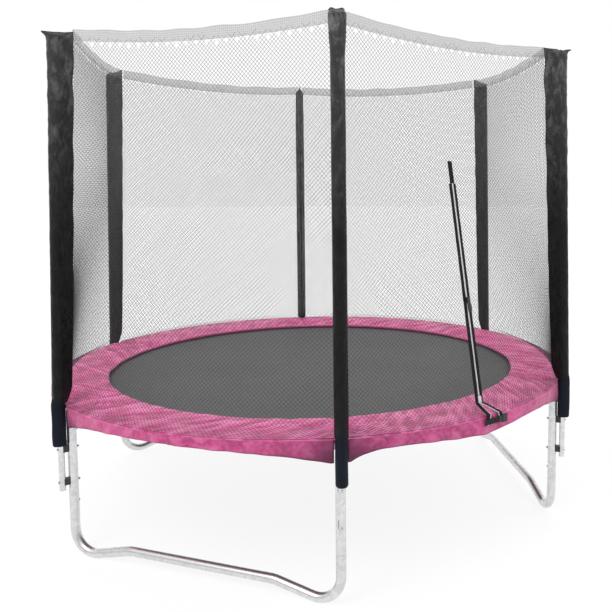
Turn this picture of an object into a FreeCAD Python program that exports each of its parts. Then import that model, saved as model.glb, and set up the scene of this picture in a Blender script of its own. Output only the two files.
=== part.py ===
import FreeCAD, Part
import math
import os

os.makedirs("parts", exist_ok=True)
Vec = FreeCAD.Vector
ORIGIN = Vec(0, 0, 0)
AXIS_Y = Vec(0, 1, 0)
AXIS_Z = Vec(0, 0, 1)

# Driving dimensions in millimetres. The trampoline stands on z = 0, centred on the z axis.
# Every post is first drawn on +X and then turned about z to its place.
post_count = 6
post_step = 360.0 / post_count
first_post_angle = -90.0

rail_radius = 1201.0        # ring, to the centre of its tube
rail_height = 610.0
frame_tube = 38.0           # outside diameter of rails and legs
frame_wall = 1.5
socket_length_below = 100.0     # leg socket, below the middle of the rail
socket_wall = 1.2
base_joint = 208.0          # height where an upper leg meets its base leg
neck_length = 45.0          # swaged end inside the next tube
neck_clearance = 0.3
neck_root = 6.0             # where the swage starts, inside its own tube
neck_bite = 0.7             # how far its root reaches into the wall
tube_screw = 4.8
tube_screw_hole = 5.4
tube_screw_length = 8.0
tube_screw_head = 12.0

foot_bend = 95.0            # bend radius of a base leg at the floor
foot_slope = 12.8           # from a foot up to the middle bar
bar_lift = 38.0             # how far the middle bar stands above the feet
bar_start = 275.0           # from the leg to the level middle bar
bar_bend = 150.0

spacer_length = 12.0        # between a leg and its pole
spacer_width = 24.0
spacer_height = 26.0
spacer_wrap = 7.5           # how far it reaches round each tube
spacer_clearance = 0.1      # round each tube
pole_tube = 25.0
pole_wall = 1.2
pole_end = 34.0             # below the lower bolt
pole_bend_rise = 40.0       # the bend's height over the rails
pole_bend = 600.0
pole_rise = 1500.0          # its top, over the rails
pole_lean_in = 42.0         # how far the top leans in
pole_joint = 540.0          # up the leaning part of a pole to its joint
pole_neck = 60.0
pole_neck_clearance = 0.2
cap_height = 7.0
cap_plug = 15.0

upper_bolt_drop = 152.0     # below the rails
lower_bolt_rise = 112.0     # over the joint with the base leg
bolt_diameter = 6.0
bolt_hole = 6.6
bolt_head = 10.0            # across the flats
bolt_head_height = 4.0
nut_height = 5.0
bolt_end = 3.0              # past the nut

foam_wall = 10.5
foam_clearance = 0.3
foam_top_gap = 5.0          # below the pole's top
foam_drop = 136.0           # below the rails

cover_clearance = 1.0
cover_wall = 1.5
cover_tip = 3.0             # radius of the seam edge
cover_foot = 6.5            # over the pad
cover_spread = 400.0        # over the pad, where it is nearly full
cover_rise = 20.0           # over the pole's top
cover_fins = (8.0, 34.0, 47.0)          # flat cloth past the round part, at those three heights
cover_seam = 4.0            # closed top

mat_thickness = 2.0
mat_rise = 1.0              # over the rails' middle
hem_width = 40.0
hem_thickness = 3.0
spring_zone = 160.0         # from the mat's edge to the middle of the rails
spring_count = 48
spring_diameter = 20.0
spring_wall = 3.0
spring_end = 10.0           # hook length outside the coils
spring_outer_end = 16.0
hook_wire = 3.0
hook_hole = 4.0
hook_bite = 2.0             # past the rail's wall
ring_wire = 4.0
ring_width = 36.0
ring_depth = 28.0
ring_point = 4.0            # bend at its point
ring_corner = 5.0
ring_gap = 0.4

pad_overlap = 58.0          # over the mat
pad_thickness = 14.0
pad_seat = 0.5              # over the rails
pad_gap = 1.0               # between two sections
skirt_gap = 3.5             # off the rails
skirt_wall = 2.5
skirt_depth = 42.0
skirt_drop = 94.0           # depth beside a post
skirt_step_start = 80.0     # from the post to where the deep end starts to rise
skirt_step_end = 230.0
post_clearance = 1.0

tie_angles = (-15.0, 15.0)
tie_width = 20.0
tie_thickness = 1.5
tie_clearance = 0.5

net_thickness = 4.0
net_seat = 0.5              # over the pad
net_gap = 0.6               # to the seams of the covers
net_foot_in = 6.0           # from the pad's edge
flare_rise = 28.0           # over the pad; below this the net spreads to the pad's edge
flare_in = 80.0             # from the pad's edge
waist_slack = 12.0          # its waist, below a zip's length over the flare
waist_bow = -31.0           # out from the line between two seams; the slack net hangs in
net_drop = 1.0              # below the covers' tops
band_sag = 30.0
band_height = 45.0
band_thickness = 3.0
band_gap = 0.5
band_end_gap = 2.0

door_post = 0               # the door is between this post and the next one
tape_width = 10.0
tape_thickness = 1.5
tape_gap = 0.5              # off the net
tape_skirt_gap = 2.5        # off the skirt
chain_width = 7.0
chain_thickness = 3.0
chain_side_gap = 0.2
chain_length = 878.0
patch_width = 23.0
patch_length = 92.0
slit_spread = 23.0          # half the slit at the pad's edge
strap_spread = 37.0         # half the slit at the strap
slit_drop = 36.5            # its lower end, below the pad's top

slider_width = 18.0
slider_length = 26.0
slider_wall = 2.0
slider_clearance = 0.5
slider_place = 408.0        # up the chain at rest
lower_slider_place = 14.0
ear_width = 3.0
pull_width = 20.0
pull_length = 28.0
pull_thickness = 3.0
pull_wall = 1.2             # round its pin
pull_pin = 3.0
pull_pin_clearance = 0.3
pull_shift = 4.0

strap_height = 22.0
strap_thickness = 1.6
strap_drop = 32.5           # its lower edge, below the pad's top
strap_gap = 0.5
strap_end = 18.0            # past the left-hand tape's inner edge
clip_length = 16.0
clip_thickness = 5.0
prong_length = 13.0
prong_height = 6.0
socket_length = 26.0
socket_height = 30.0
socket_thickness = 9.0
socket_clearance = 0.5

# Sizes that follow from the driving ones
frame_radius = frame_tube / 2
frame_bore = frame_radius - frame_wall
neck_radius = frame_bore - neck_clearance
socket_bottom = rail_height - socket_length_below
pole_outer = pole_tube / 2
pole_bore = pole_outer - pole_wall
pole_radius = rail_radius + frame_radius + spacer_length + pole_outer
bolt_heights = (base_joint + lower_bolt_rise, rail_height - upper_bolt_drop)
pole_bottom = bolt_heights[0] - pole_end
pole_top = rail_height + pole_rise
pole_bend_height = rail_height + pole_bend_rise
pole_lean = math.degrees(math.atan2(pole_lean_in, pole_top - pole_bend_height))
lean_slope = math.tan(math.radians(pole_lean))
lean_sin = math.sin(math.radians(pole_lean))
lean_cos = math.cos(math.radians(pole_lean))
pole_length = (pole_top - pole_bend_height) / lean_cos
foam_radius = pole_outer + foam_wall
foam_length = pole_length - foam_top_gap
half_step = post_step / 2
mid_cos = math.cos(math.radians(half_step))
mid_sin = math.sin(math.radians(half_step))

mat_radius = rail_radius - spring_zone
ring_half_point = math.atan2(ring_width / 2, ring_depth)
ring_reach = ring_depth + ring_wire - ring_point * (1 / math.sin(ring_half_point) - 1)
spring_inner = mat_radius + ring_gap + ring_reach + ring_gap
hook_end = rail_radius - frame_bore + hook_bite

pad_inner_radius = mat_radius - pad_overlap
pad_outer_radius = rail_radius + frame_radius + skirt_gap + skirt_wall
pad_bottom = rail_height + frame_radius + pad_seat
pad_top = pad_bottom + pad_thickness
cover_radius = foam_radius + cover_clearance + cover_wall
cover_top = pole_top + cover_rise
cover_heights = (pad_top + cover_foot, pad_top + cover_spread, cover_top)
cover_levels = [(height, fin + 2 * cover_radius) for height, fin in zip(cover_heights, cover_fins)]

door_angle = first_post_angle + (door_post + 0.5) * post_step
net_bottom = pad_top + net_seat
net_top = cover_top - net_drop
flare_height = pad_top + flare_rise
flare_radius = pad_outer_radius - flare_in
net_foot_radius = pad_outer_radius - net_foot_in
net_face = flare_radius + net_thickness / 2
tape_face = pad_outer_radius + tape_skirt_gap       # inner face of the tapes over the skirt
slit_bottom = pad_top - slit_drop
strap_bottom = pad_top - strap_drop


def cylinder(radius, start, end):
    """A round bar between two points."""
    way = end.sub(start)
    return Part.makeCylinder(radius, way.Length, start, way)


def upright_tube(x, outer, inner, low, high):
    bar = cylinder(outer, Vec(x, 0, low), Vec(x, 0, high))
    return bar.cut(cylinder(inner, Vec(x, 0, low - 1), Vec(x, 0, high + 1)))


def box(x, y, z):
    """A box from three (low, high) pairs."""
    return Part.makeBox(x[1] - x[0], y[1] - y[0], z[1] - z[0], Vec(x[0], y[0], z[0]))


def prism(points, way):
    face = Part.Face(Part.makePolygon(points + points[:1]))
    return face.extrude(way)


def ring_bar(radius, height, bar, start, sweep):
    """Part of a ring of round bar, from a start angle."""
    circle = Part.Wire([Part.makeCircle(bar, Vec(radius, 0, height), AXIS_Y)])
    solid = Part.Face(circle).revolve(ORIGIN, AXIS_Z, sweep)
    return turned(solid, start)


def flat_ring(inner, outer, low, high):
    disc = Part.makeCylinder(outer, high - low, Vec(0, 0, low))
    return disc.cut(Part.makeCylinder(inner, high - low + 2, Vec(0, 0, low - 1)))


def turned(shape, angle):
    copy = shape.copy()
    copy.rotate(ORIGIN, AXIS_Z, angle)
    return copy


def at_post(shape, post):
    return turned(shape, first_post_angle + post * post_step)


def at_panel(shape, post):
    """From +X to the middle between a post and the next one."""
    return turned(shape, first_post_angle + (post + 0.5) * post_step)


def leaned(shape):
    """From upright over the bend of a pole to the leaning part of the pole."""
    copy = shape.copy()
    copy.rotate(Vec(pole_radius, 0, pole_bend_height), AXIS_Y, -pole_lean)
    return copy


def rounded_path(corners, radii):
    """A wire of straight runs joined by tangent arcs. The corners lie in one plane."""
    edges = []
    start = corners[0]
    for before, corner, after, radius in zip(corners, corners[1:], corners[2:], radii):
        back = before.sub(corner).normalize()
        ahead = after.sub(corner).normalize()
        half = math.acos(max(-1.0, min(1.0, back.dot(ahead)))) / 2
        reach = radius / math.tan(half)
        first = corner.add(back * reach)
        last = corner.add(ahead * reach)
        middle = back.add(ahead).normalize()
        centre = corner.add(middle * (radius / math.sin(half)))
        edges.append(Part.makeLine(start, first))
        edges.append(Part.Arc(first, centre.sub(middle * radius), last).toShape())
        start = last
    edges.append(Part.makeLine(start, corners[-1]))
    return Part.Wire(edges)


def swept_bar(path, radius):
    first = path.Edges[0]
    way = first.tangentAt(first.FirstParameter)
    profile = Part.Wire([Part.makeCircle(radius, first.valueAt(first.FirstParameter), way)])
    return path.makePipeShell([profile], True, False)


def pole_axis(height):
    """Radius of the pole's centre line at a height."""
    return pole_radius - max(0.0, height - pole_bend_height) * lean_slope


def save(name, solids):
    shape = solids[0] if len(solids) == 1 else Part.makeCompound(solids)
    shape.exportStep("parts/" + name + ".step")


# Frame ring: six rails, each a bent tube with a welded leg socket
def joint_screw_place(angle):
    """From the origin: where the screw under a rail joint goes, at this joint angle."""
    return turned(cylinder(tube_screw_hole / 2, Vec(rail_radius, 0, rail_height - frame_radius - 1),
                           Vec(rail_radius, 0, rail_height - 10)), angle + 1.0)


def socket_screw_hole(height):
    """Cross hole from the inner side of a leg tube, for its self-tapping screw."""
    return cylinder(tube_screw_hole / 2, Vec(rail_radius - frame_radius - 1, 0, height),
                    Vec(rail_radius - 10, 0, height))


def make_rail():
    outer = ring_bar(rail_radius, rail_height, frame_radius, -half_step, post_step)
    bore = ring_bar(rail_radius, rail_height, frame_bore, -half_step, post_step)
    stub = cylinder(frame_bore + socket_wall, Vec(rail_radius, 0, socket_bottom),
                    Vec(rail_radius, 0, rail_height))
    rail = outer.fuse(stub).cut(bore)
    stub_bore = cylinder(frame_bore, Vec(rail_radius, 0, socket_bottom - 1),
                         Vec(rail_radius, 0, rail_height - frame_radius - 1))
    rail = rail.cut(stub_bore)
    neck_angle = math.degrees(neck_length / rail_radius)
    root = ring_bar(rail_radius, rail_height, frame_bore + neck_bite, half_step - 0.5, 0.5)
    neck = ring_bar(rail_radius, rail_height, neck_radius, half_step - 0.5, neck_angle + 0.5)
    neck_bore = ring_bar(rail_radius, rail_height, neck_radius - frame_wall,
                         half_step - 1.0, neck_angle + 2.0)
    rail = rail.fuse(root.fuse(neck).cut(neck_bore))
    for joint in (-half_step, half_step):
        rail = rail.cut(joint_screw_place(joint))
    rail = rail.cut(socket_screw_hole(socket_bottom + neck_length / 2))
    for index in range(spring_count // post_count):
        angle = (index + 0.5) * 360.0 / spring_count - half_step
        hole = cylinder(hook_hole / 2, Vec(rail_radius - frame_tube, 0, rail_height),
                        Vec(rail_radius - frame_radius / 2, 0, rail_height))
        rail = rail.cut(turned(hole, angle))
    return rail


# Legs
def make_neck(low, high):
    """Swaged end that stands on a leg tube whose top is at low."""
    root = upright_tube(rail_radius, frame_bore + neck_bite, neck_radius - frame_wall, low - neck_root, low)
    neck = upright_tube(rail_radius, neck_radius, neck_radius - frame_wall, low - neck_root, high)
    return root.fuse(neck)


def bolt_hole_at(height):
    return cylinder(bolt_hole / 2, Vec(rail_radius - frame_tube, 0, height),
                    Vec(pole_radius + pole_tube, 0, height))


def make_upper_leg():
    leg = upright_tube(rail_radius, frame_radius, frame_bore, base_joint, socket_bottom)
    leg = leg.fuse(make_neck(socket_bottom, socket_bottom + neck_length))
    for height in bolt_heights:
        leg = leg.cut(bolt_hole_at(height))
    leg = leg.cut(socket_screw_hole(base_joint + neck_length / 2))
    return leg.cut(socket_screw_hole(socket_bottom + neck_length / 2))


def make_base_leg(post):
    """A U of one tube under this post and the next one, drawn along +X and then placed."""
    span = 2 * rail_radius * mid_sin
    bar_height = frame_radius + bar_lift
    slope = math.radians(foot_slope)
    corner_drop = bar_height - bar_start * math.tan(slope)
    corners = [Vec(0, 0, base_joint), Vec(0, 0, corner_drop), Vec(bar_start, 0, bar_height),
               Vec(span - bar_start, 0, bar_height), Vec(span, 0, corner_drop), Vec(span, 0, base_joint)]
    path = rounded_path(corners, (foot_bend, bar_bend, bar_bend, foot_bend))
    leg = swept_bar(path, frame_radius).cut(swept_bar(path, frame_bore))
    lift = -leg.optimalBoundingBox(False).ZMin
    leg = leg.cut(box((-frame_tube, span + frame_tube), (-frame_tube, frame_tube),
                      (base_joint - lift, base_joint + frame_tube)))
    leg.translate(Vec(0, 0, lift))
    for x in (0, span):
        neck = make_neck(base_joint, base_joint + neck_length)
        neck = neck.cut(socket_screw_hole(base_joint + neck_length / 2))
        neck.rotate(Vec(rail_radius, 0, 0), AXIS_Z, -120.0 if x == 0 else -60.0)
        neck.translate(Vec(x - rail_radius, 0, 0))
        leg = leg.fuse(neck)
    angle = math.radians(first_post_angle + post * post_step)
    leg.rotate(ORIGIN, AXIS_Z, first_post_angle + (post + 0.5) * post_step + 90.0)
    leg.translate(Vec(rail_radius * math.cos(angle), rail_radius * math.sin(angle), 0))
    return leg


def make_screw(start, way):
    """Self-tapping screw whose head rests at start and whose shank goes along way."""
    head = Part.makeCone(tube_screw_head / 3, tube_screw_head / 2, 3.0, start.sub(way * 3.0), way)
    return head.fuse(Part.makeCylinder(tube_screw / 2, tube_screw_length, start, way))


def frame_screws():
    screws = []
    for post in range(post_count):
        rail_screw = make_screw(Vec(rail_radius, 0, rail_height - frame_radius), AXIS_Z)
        screws.append(at_panel(turned(rail_screw, 1.0), post))
        for height in (base_joint + neck_length / 2, socket_bottom + neck_length / 2):
            screw = make_screw(Vec(rail_radius - frame_radius, 0, height), Vec(1, 0, 0))
            screws.append(at_post(screw, post))
    return screws


# Enclosure poles
def make_lower_pole():
    corners = [Vec(pole_radius, 0, pole_bottom), Vec(pole_radius, 0, pole_bend_height),
               Vec(pole_radius - pole_joint * lean_sin, 0, pole_bend_height + pole_joint * lean_cos)]
    path = rounded_path(corners, (pole_bend,))
    pole = swept_bar(path, pole_outer).cut(swept_bar(path, pole_bore))
    joint = pole_bend_height + pole_joint
    inner = pole_bore - pole_neck_clearance
    bottom = joint - neck_root
    root = upright_tube(pole_radius, pole_bore + neck_bite, inner - pole_wall, bottom, joint)
    neck = upright_tube(pole_radius, inner, inner - pole_wall, bottom, joint + pole_neck)
    pole = pole.fuse(leaned(root.fuse(neck)))
    for height in bolt_heights:
        pole = pole.cut(bolt_hole_at(height))
    return pole


def make_upper_pole():
    return leaned(upright_tube(pole_radius, pole_outer, pole_bore, pole_bend_height + pole_joint,
                               pole_bend_height + pole_length))


def make_pole_cap():
    top = pole_bend_height + pole_length
    plug = cylinder(pole_bore - 0.1, Vec(pole_radius, 0, top - cap_plug), Vec(pole_radius, 0, top))
    dome = Part.makeSphere(pole_outer * 1.3, Vec(pole_radius, 0, top + cap_height - pole_outer * 1.3))
    head = dome.common(cylinder(pole_outer, Vec(pole_radius, 0, top), Vec(pole_radius, 0, top + 20)))
    return leaned(plug.fuse(head))


def make_spacer(height):
    half = spacer_width / 2
    block = box((rail_radius + frame_radius - spacer_wrap, pole_radius - pole_outer + spacer_wrap),
                (-half, half), (height - spacer_height / 2, height + spacer_height / 2))
    for x, radius in ((rail_radius, frame_radius), (pole_radius, pole_outer)):
        tube = cylinder(radius + spacer_clearance, Vec(x, 0, 0), Vec(x, 0, pole_top))
        block = block.cut(tube)
    return block.cut(bolt_hole_at(height))


def hexagon(across, height, x, z):
    """A hexagon bar along +X."""
    radius = across / 2 / math.cos(math.radians(30))
    points = []
    for side in range(6):
        angle = math.radians(60 * side)
        points.append(Vec(x, radius * math.cos(angle), z + radius * math.sin(angle)))
    return prism(points, Vec(height, 0, 0))


def make_bolt(height):
    face = pole_radius + pole_outer
    far = rail_radius - frame_radius - nut_height - bolt_end
    head = hexagon(bolt_head, bolt_head_height, face, height)
    return head.fuse(cylinder(bolt_diameter / 2, Vec(far, 0, height), Vec(face + 1, 0, height)))


def make_nut(height):
    x = rail_radius - frame_radius - nut_height
    nut = hexagon(bolt_head, nut_height, x, height)
    return nut.cut(cylinder(bolt_diameter / 2, Vec(x - 1, 0, height), Vec(x + nut_height + 1, 0, height)))


def make_foam(bottom):
    """Foam tube with a pocket for the upper spacer and bolt, where it reaches down to them."""
    corners = [Vec(pole_radius, 0, bottom), Vec(pole_radius, 0, pole_bend_height),
               Vec(pole_radius - foam_length * lean_sin, 0, pole_bend_height + foam_length * lean_cos)]
    path = rounded_path(corners, (pole_bend,))
    foam = swept_bar(path, foam_radius).cut(swept_bar(path, pole_outer + foam_clearance))
    half = spacer_width / 2 + post_clearance
    top = bolt_heights[-1] + spacer_height / 2 + post_clearance
    return foam.cut(box((rail_radius, pole_radius + 2 * foam_radius), (-half, half), (pole_bottom, top)))


# Covers: a flat sleeve whose seam edge points at the middle of the trampoline
def teardrop(height, width, inset):
    """Closed outline at a height: a round end on the pole and a small one at the seam."""
    axis = pole_axis(height)
    large = cover_radius - inset
    small = cover_tip - inset
    reach = width - cover_radius - cover_tip
    lean = math.acos((large - small) / reach)
    out = Vec(-math.cos(lean), math.sin(lean), 0)
    mirror = Vec(out.x, -out.y, 0)
    centre = Vec(axis, 0, height)
    tip = Vec(axis - reach, 0, height)
    a = centre.add(out * large)
    b = centre.add(mirror * large)
    c = tip.add(mirror * small)
    d = tip.add(out * small)
    return Part.Wire([Part.Arc(a, centre.add(Vec(large, 0, 0)), b).toShape(), Part.makeLine(b, c),
                      Part.Arc(c, tip.sub(Vec(small, 0, 0)), d).toShape(), Part.makeLine(d, a)])


def cover_width(height):
    for (low, narrow), (high, wide) in zip(cover_levels, cover_levels[1:]):
        if height <= high:
            return narrow + (wide - narrow) * (height - low) / (high - low)
    return cover_levels[-1][1]


def make_cover():
    outer = Part.makeLoft([teardrop(z, width, 0) for z, width in cover_levels], True, True)
    inner = Part.makeLoft([teardrop(z, width, cover_wall) for z, width in cover_levels], True, True)
    roof = cover_top - cover_seam
    inner = inner.cut(box((0, 2 * pole_radius), (-100, 100), (roof, roof + 100)))
    return outer.cut(inner)


def seam_radius(height):
    """Radius of the cover's seam edge at a height."""
    return pole_axis(height) + cover_radius - cover_width(height)


waist_height = flare_height + chain_length + patch_length - waist_slack
waist_radius = seam_radius(waist_height) * mid_cos + waist_bow
chain_lean = math.degrees(math.atan2(flare_radius - waist_radius, waist_height - flare_height))


# Net
def net_outline(height, middle):
    """One panel's section at a height, centred on +X, bowed out to a middle radius."""
    half = net_thickness / 2
    seam = seam_radius(max(height, cover_levels[0][0])) - net_gap
    ends = []
    for radius in (seam, seam - net_thickness):
        for side in (-1, 1):
            x = radius * mid_cos + net_gap * mid_sin
            y = side * (radius * mid_sin - net_gap * mid_cos)
            ends.append(Vec(x, y, height))
    a, b, c, d = ends
    return Part.Wire([Part.Arc(a, Vec(middle + half, 0, height), b).toShape(), Part.makeLine(b, d),
                      Part.Arc(d, Vec(middle - half, 0, height), c).toShape(), Part.makeLine(c, a)])


def net_middle(height):
    """Middle radius of a panel between the flare and the waist, where the zip runs."""
    share = (height - flare_height) / (waist_height - flare_height)
    return flare_radius + (waist_radius - flare_radius) * share


def top_middle():
    return seam_radius(net_top) * mid_cos + band_thickness / 2


def band_area(upper, lower, halves, start, depth):
    """A sagging strip across the top of a panel: its edges below the net's top and their half lengths."""
    x = top_middle() + start
    a = Vec(x, -halves[0], net_top - upper)
    b = Vec(x, halves[0], net_top - upper)
    c = Vec(x, halves[1], net_top - lower)
    d = Vec(x, -halves[1], net_top - lower)
    top = Part.Arc(a, Vec(x, 0, a.z - band_sag), b).toShape()
    bottom = Part.Arc(c, Vec(x, 0, c.z - band_sag), d).toShape()
    wire = Part.Wire([top, Part.makeLine(b, c), bottom, Part.makeLine(d, a)])
    strip = Part.Face(wire).extrude(Vec(depth, 0, 0))
    lean = math.degrees(math.atan2(net_middle(waist_height) - top_middle(), net_top - waist_height))
    strip.rotate(Vec(top_middle(), 0, net_top), AXIS_Y, -lean)
    return strip


def make_net():
    middles = ((net_bottom, net_foot_radius - net_thickness / 2), (flare_height, flare_radius),
               (cover_levels[1][0], net_middle(cover_levels[1][0])), (waist_height, waist_radius),
               (net_top, top_middle()))
    panel = Part.makeLoft([net_outline(z, middle) for z, middle in middles], True, True)
    half = rail_radius * mid_sin
    return panel.cut(band_area(-2 * band_height, band_height + band_gap, (half, half), -half / 2, half))


def make_band():
    ends = [(seam_radius(net_top - drop) - net_gap) * mid_sin - band_end_gap for drop in (0, band_height)]
    return band_area(0, band_height, ends, -band_thickness / 2, band_thickness)


# Spring pad: a flat cushion with a skirt, in six sections sewn at the posts
def make_pad():
    cushion = flat_ring(pad_inner_radius, pad_outer_radius, pad_bottom, pad_top)
    skirt = flat_ring(pad_outer_radius - skirt_wall, pad_outer_radius, pad_top - skirt_drop, pad_top)
    reach = 2 * pad_outer_radius
    side = reach * math.tan(math.radians(half_step))
    points = [ORIGIN, Vec(reach, -side, 0), Vec(reach, side, 0)]
    wedge = prism([point.add(Vec(0, 0, pad_top - 200)) for point in points], Vec(0, 0, 300))
    wedge.translate(Vec(pad_gap / 2 / mid_sin, 0, 0))
    pad = cushion.fuse(skirt).common(wedge)
    edge = pad_outer_radius * mid_sin
    outline = [Vec(0, -(edge - skirt_step_start), pad_top - skirt_drop - 1),
               Vec(0, -(edge - skirt_step_end), pad_top - skirt_depth),
               Vec(0, edge - skirt_step_end, pad_top - skirt_depth),
               Vec(0, edge - skirt_step_start, pad_top - skirt_drop - 1)]
    pad = pad.cut(prism(outline, Vec(reach, 0, 0)))
    for turn in (-half_step, half_step):
        post = cylinder(foam_radius + post_clearance, Vec(pole_radius, 0, 0), Vec(pole_radius, 0, pole_top))
        pad = pad.cut(turned(post, turn))
    return pad


def make_tie():
    """Elastic strap from the pad down round the rail."""
    inner = frame_radius + tie_clearance
    outer = inner + tie_thickness
    centre = Vec(rail_radius, -tie_width / 2, rail_height)
    loop = Part.makeCylinder(outer, tie_width, centre, AXIS_Y)
    sides = box((rail_radius - outer, rail_radius + outer), (-tie_width / 2, tie_width / 2),
                (rail_height, pad_bottom))
    hole = Part.makeCylinder(inner, tie_width, centre, AXIS_Y)
    opening = box((rail_radius - inner, rail_radius + inner), (-tie_width / 2, tie_width / 2),
                  (rail_height, pad_bottom))
    lower = loop.cut(box((0, 2 * rail_radius), (-tie_width, tie_width), (rail_height, rail_height + 50)))
    return lower.fuse(sides).cut(hole).cut(opening)


# Jumping mat with its hem, rings and springs
def make_mat():
    return Part.makeCylinder(mat_radius, mat_thickness, Vec(0, 0, rail_height + mat_rise))


def make_hem():
    top = rail_height + mat_rise
    return flat_ring(mat_radius - hem_width, mat_radius, top - hem_thickness, top)


def make_ring():
    """Triangle of wire: its base at the hem and its point towards the rail."""
    bar = ring_wire / 2
    base = mat_radius + ring_gap + bar
    point = base + ring_depth
    half = ring_width / 2
    corners = [Vec(base, 0, rail_height), Vec(base, half, rail_height), Vec(point, 0, rail_height),
               Vec(base, -half, rail_height), Vec(base, 0, rail_height)]
    return swept_bar(rounded_path(corners, (ring_corner, ring_point, ring_corner)), bar)


def make_spring():
    """The space of one spring: a sleeve of coils with a hook at each end."""
    coil_start = spring_inner + spring_end
    coil_end = hook_end - spring_outer_end
    radius = spring_diameter / 2
    sleeve = cylinder(radius, Vec(coil_start, 0, rail_height), Vec(coil_end, 0, rail_height))
    sleeve = sleeve.cut(cylinder(radius - spring_wall, Vec(coil_start + 2, 0, rail_height),
                                 Vec(coil_end - 2, 0, rail_height)))
    inner_hook = cylinder(hook_wire / 2, Vec(spring_inner, 0, rail_height),
                          Vec(coil_start + 1, 0, rail_height))
    outer_hook = cylinder(hook_wire / 2, Vec(coil_end - 1, 0, rail_height), Vec(hook_end, 0, rail_height))
    return sleeve.fuse([inner_hook, outer_hook])


def round_the_mat(solid):
    step = 360.0 / spring_count
    return [turned(solid, (index + 0.5) * step) for index in range(spring_count)]


# Door: a zip up the middle of one panel, with a strap and a clip under it.
# A shape is drawn with x off the net's outer face, y sideways and z up the chain.
def on_zip(shape):
    copy = shape.copy()
    copy.translate(Vec(net_face, 0, flare_height))
    copy.rotate(Vec(net_face, 0, flare_height), AXIS_Y, -chain_lean)
    return turned(copy, door_angle)


def slit_strip(inner, outer, thickness, lift, side):
    """From the zip's lower end down to the pad's edge; inner and outer are widths at each end."""
    top = [Vec(net_face + lift, side * inner[0], flare_height),
           Vec(net_face + lift, side * outer[0], flare_height)]
    low = [Vec(tape_face + lift, side * width, pad_top + 2) for width in (outer[1], inner[1])]
    run = Vec(tape_face - net_face, 0, pad_top + 2 - flare_height).normalize()
    return prism(top + low, Vec(-run.z, 0, run.x) * thickness)


def hanging_strip(inner, outer, thickness, lift, side):
    """From the pad's edge down the skirt to the strap."""
    top = [Vec(tape_face + lift, side * width, pad_top + 2) for width in (inner[0], outer[0])]
    low = [Vec(tape_face + lift, side * width, slit_bottom) for width in (outer[1], inner[1])]
    return prism(top + low, Vec(thickness, 0, 0))


def make_tapes():
    half_chain = chain_width / 2 + chain_side_gap
    solids = []
    patch = box((tape_gap, tape_gap + tape_thickness), (-patch_width / 2, patch_width / 2),
                (chain_length + 0.5, chain_length + patch_length))
    straps = []
    for side in (-1, 1):
        low, high = sorted((side * half_chain, side * (half_chain + tape_width)))
        tape = box((tape_gap, tape_gap + tape_thickness), (low, high), (-2, chain_length + 1))
        straps.append(on_zip(tape))
        inner = (half_chain, slit_spread, strap_spread)
        edge = [size + tape_width for size in inner]
        slit = slit_strip(inner[:2], edge[:2], tape_thickness, tape_gap, side)
        hang = hanging_strip(inner[1:], edge[1:], tape_thickness, tape_gap, side)
        straps.append(turned(slit, door_angle))
        straps.append(turned(hang, door_angle))
    solids.append(on_zip(patch).fuse(straps))
    return solids


def make_chain():
    half = chain_width / 2
    return on_zip(box((tape_gap, tape_gap + chain_thickness), (-half, half), (0, chain_length)))


def make_slider(place):
    """A cap over the chain, with two cheeks beside it."""
    half = slider_width / 2
    top = tape_gap + chain_thickness + slider_clearance
    cheek = tape_gap + tape_thickness + slider_clearance
    block = box((cheek, top + slider_wall), (-half, half),
                (place - slider_length / 2, place + slider_length / 2))
    channel_half = chain_width / 2 + slider_clearance
    channel = (place - slider_length, place + slider_length)
    return block.cut(box((0, top), (-channel_half, channel_half), channel))


def pull_height():
    return slider_place + slider_length / 2 - pull_pin


def make_upper_slider():
    """With two ears that hold the pull's pin."""
    slider = make_slider(slider_place)
    base = tape_gap + chain_thickness + slider_clearance + slider_wall
    axis = base + pull_pin + 1.0
    half = slider_width / 2
    for side in (-1, 1):
        low, high = sorted((side * half, side * (half - ear_width)))
        ear = box((base - 0.5, axis + pull_pin), (low, high),
                  (pull_height() - pull_pin, pull_height() + pull_pin))
        slider = slider.fuse(ear)
    pin = cylinder(pull_pin / 2, Vec(axis, -half + 1, pull_height()), Vec(axis, half - 1, pull_height()))
    return slider.fuse(pin), axis


def make_pull(axis):
    """A tab that hangs from the slider's pin, wider below the ears."""
    eye_half = slider_width / 2 - ear_width - slider_clearance
    half = pull_thickness / 2
    bore = pull_pin / 2 + pull_pin_clearance
    eye = cylinder(bore + pull_wall, Vec(axis, -eye_half, pull_height()),
                   Vec(axis, eye_half, pull_height()))
    drop = slider_length - pull_pin + 2
    neck = box((axis - half, axis + half), (-eye_half, eye_half), (pull_height() - drop, pull_height()))
    low, high = pull_shift - pull_width / 2, pull_shift + pull_width / 2
    tab = box((axis - half, axis + half), (low, high),
              (pull_height() - drop - pull_length, pull_height() - drop))
    pull = eye.fuse([neck, tab])
    return pull.cut(cylinder(bore, Vec(axis, -20, pull_height()), Vec(axis, 20, pull_height())))


def strap_middle():
    return strap_bottom + strap_height / 2


def clip_face():
    """Inner face of the clip, over the tapes."""
    return tape_face + tape_gap + tape_thickness + strap_gap


def make_door_socket():
    """Hollow end of the clip, on the right-hand tape."""
    start = strap_spread
    x = (clip_face(), clip_face() + socket_thickness)
    z = (strap_middle() - socket_height / 2, strap_middle() + socket_height / 2)
    socket = box(x, (start, start + socket_length), z)
    hollow_half = prong_height + 1 + socket_clearance
    middle = sum(x) / 2
    half = clip_thickness / 2 + socket_clearance
    hollow = box((middle - half, middle + half), (start - 1, start + prong_length + 2),
                 (strap_middle() - hollow_half, strap_middle() + hollow_half))
    rib = box((clip_face() - strap_gap, clip_face() + 0.5), (start + 2, start + tape_width - 2),
              (strap_middle() - 6, strap_middle() + 6))
    return turned(socket.cut(hollow).fuse(rib), door_angle)


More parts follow.
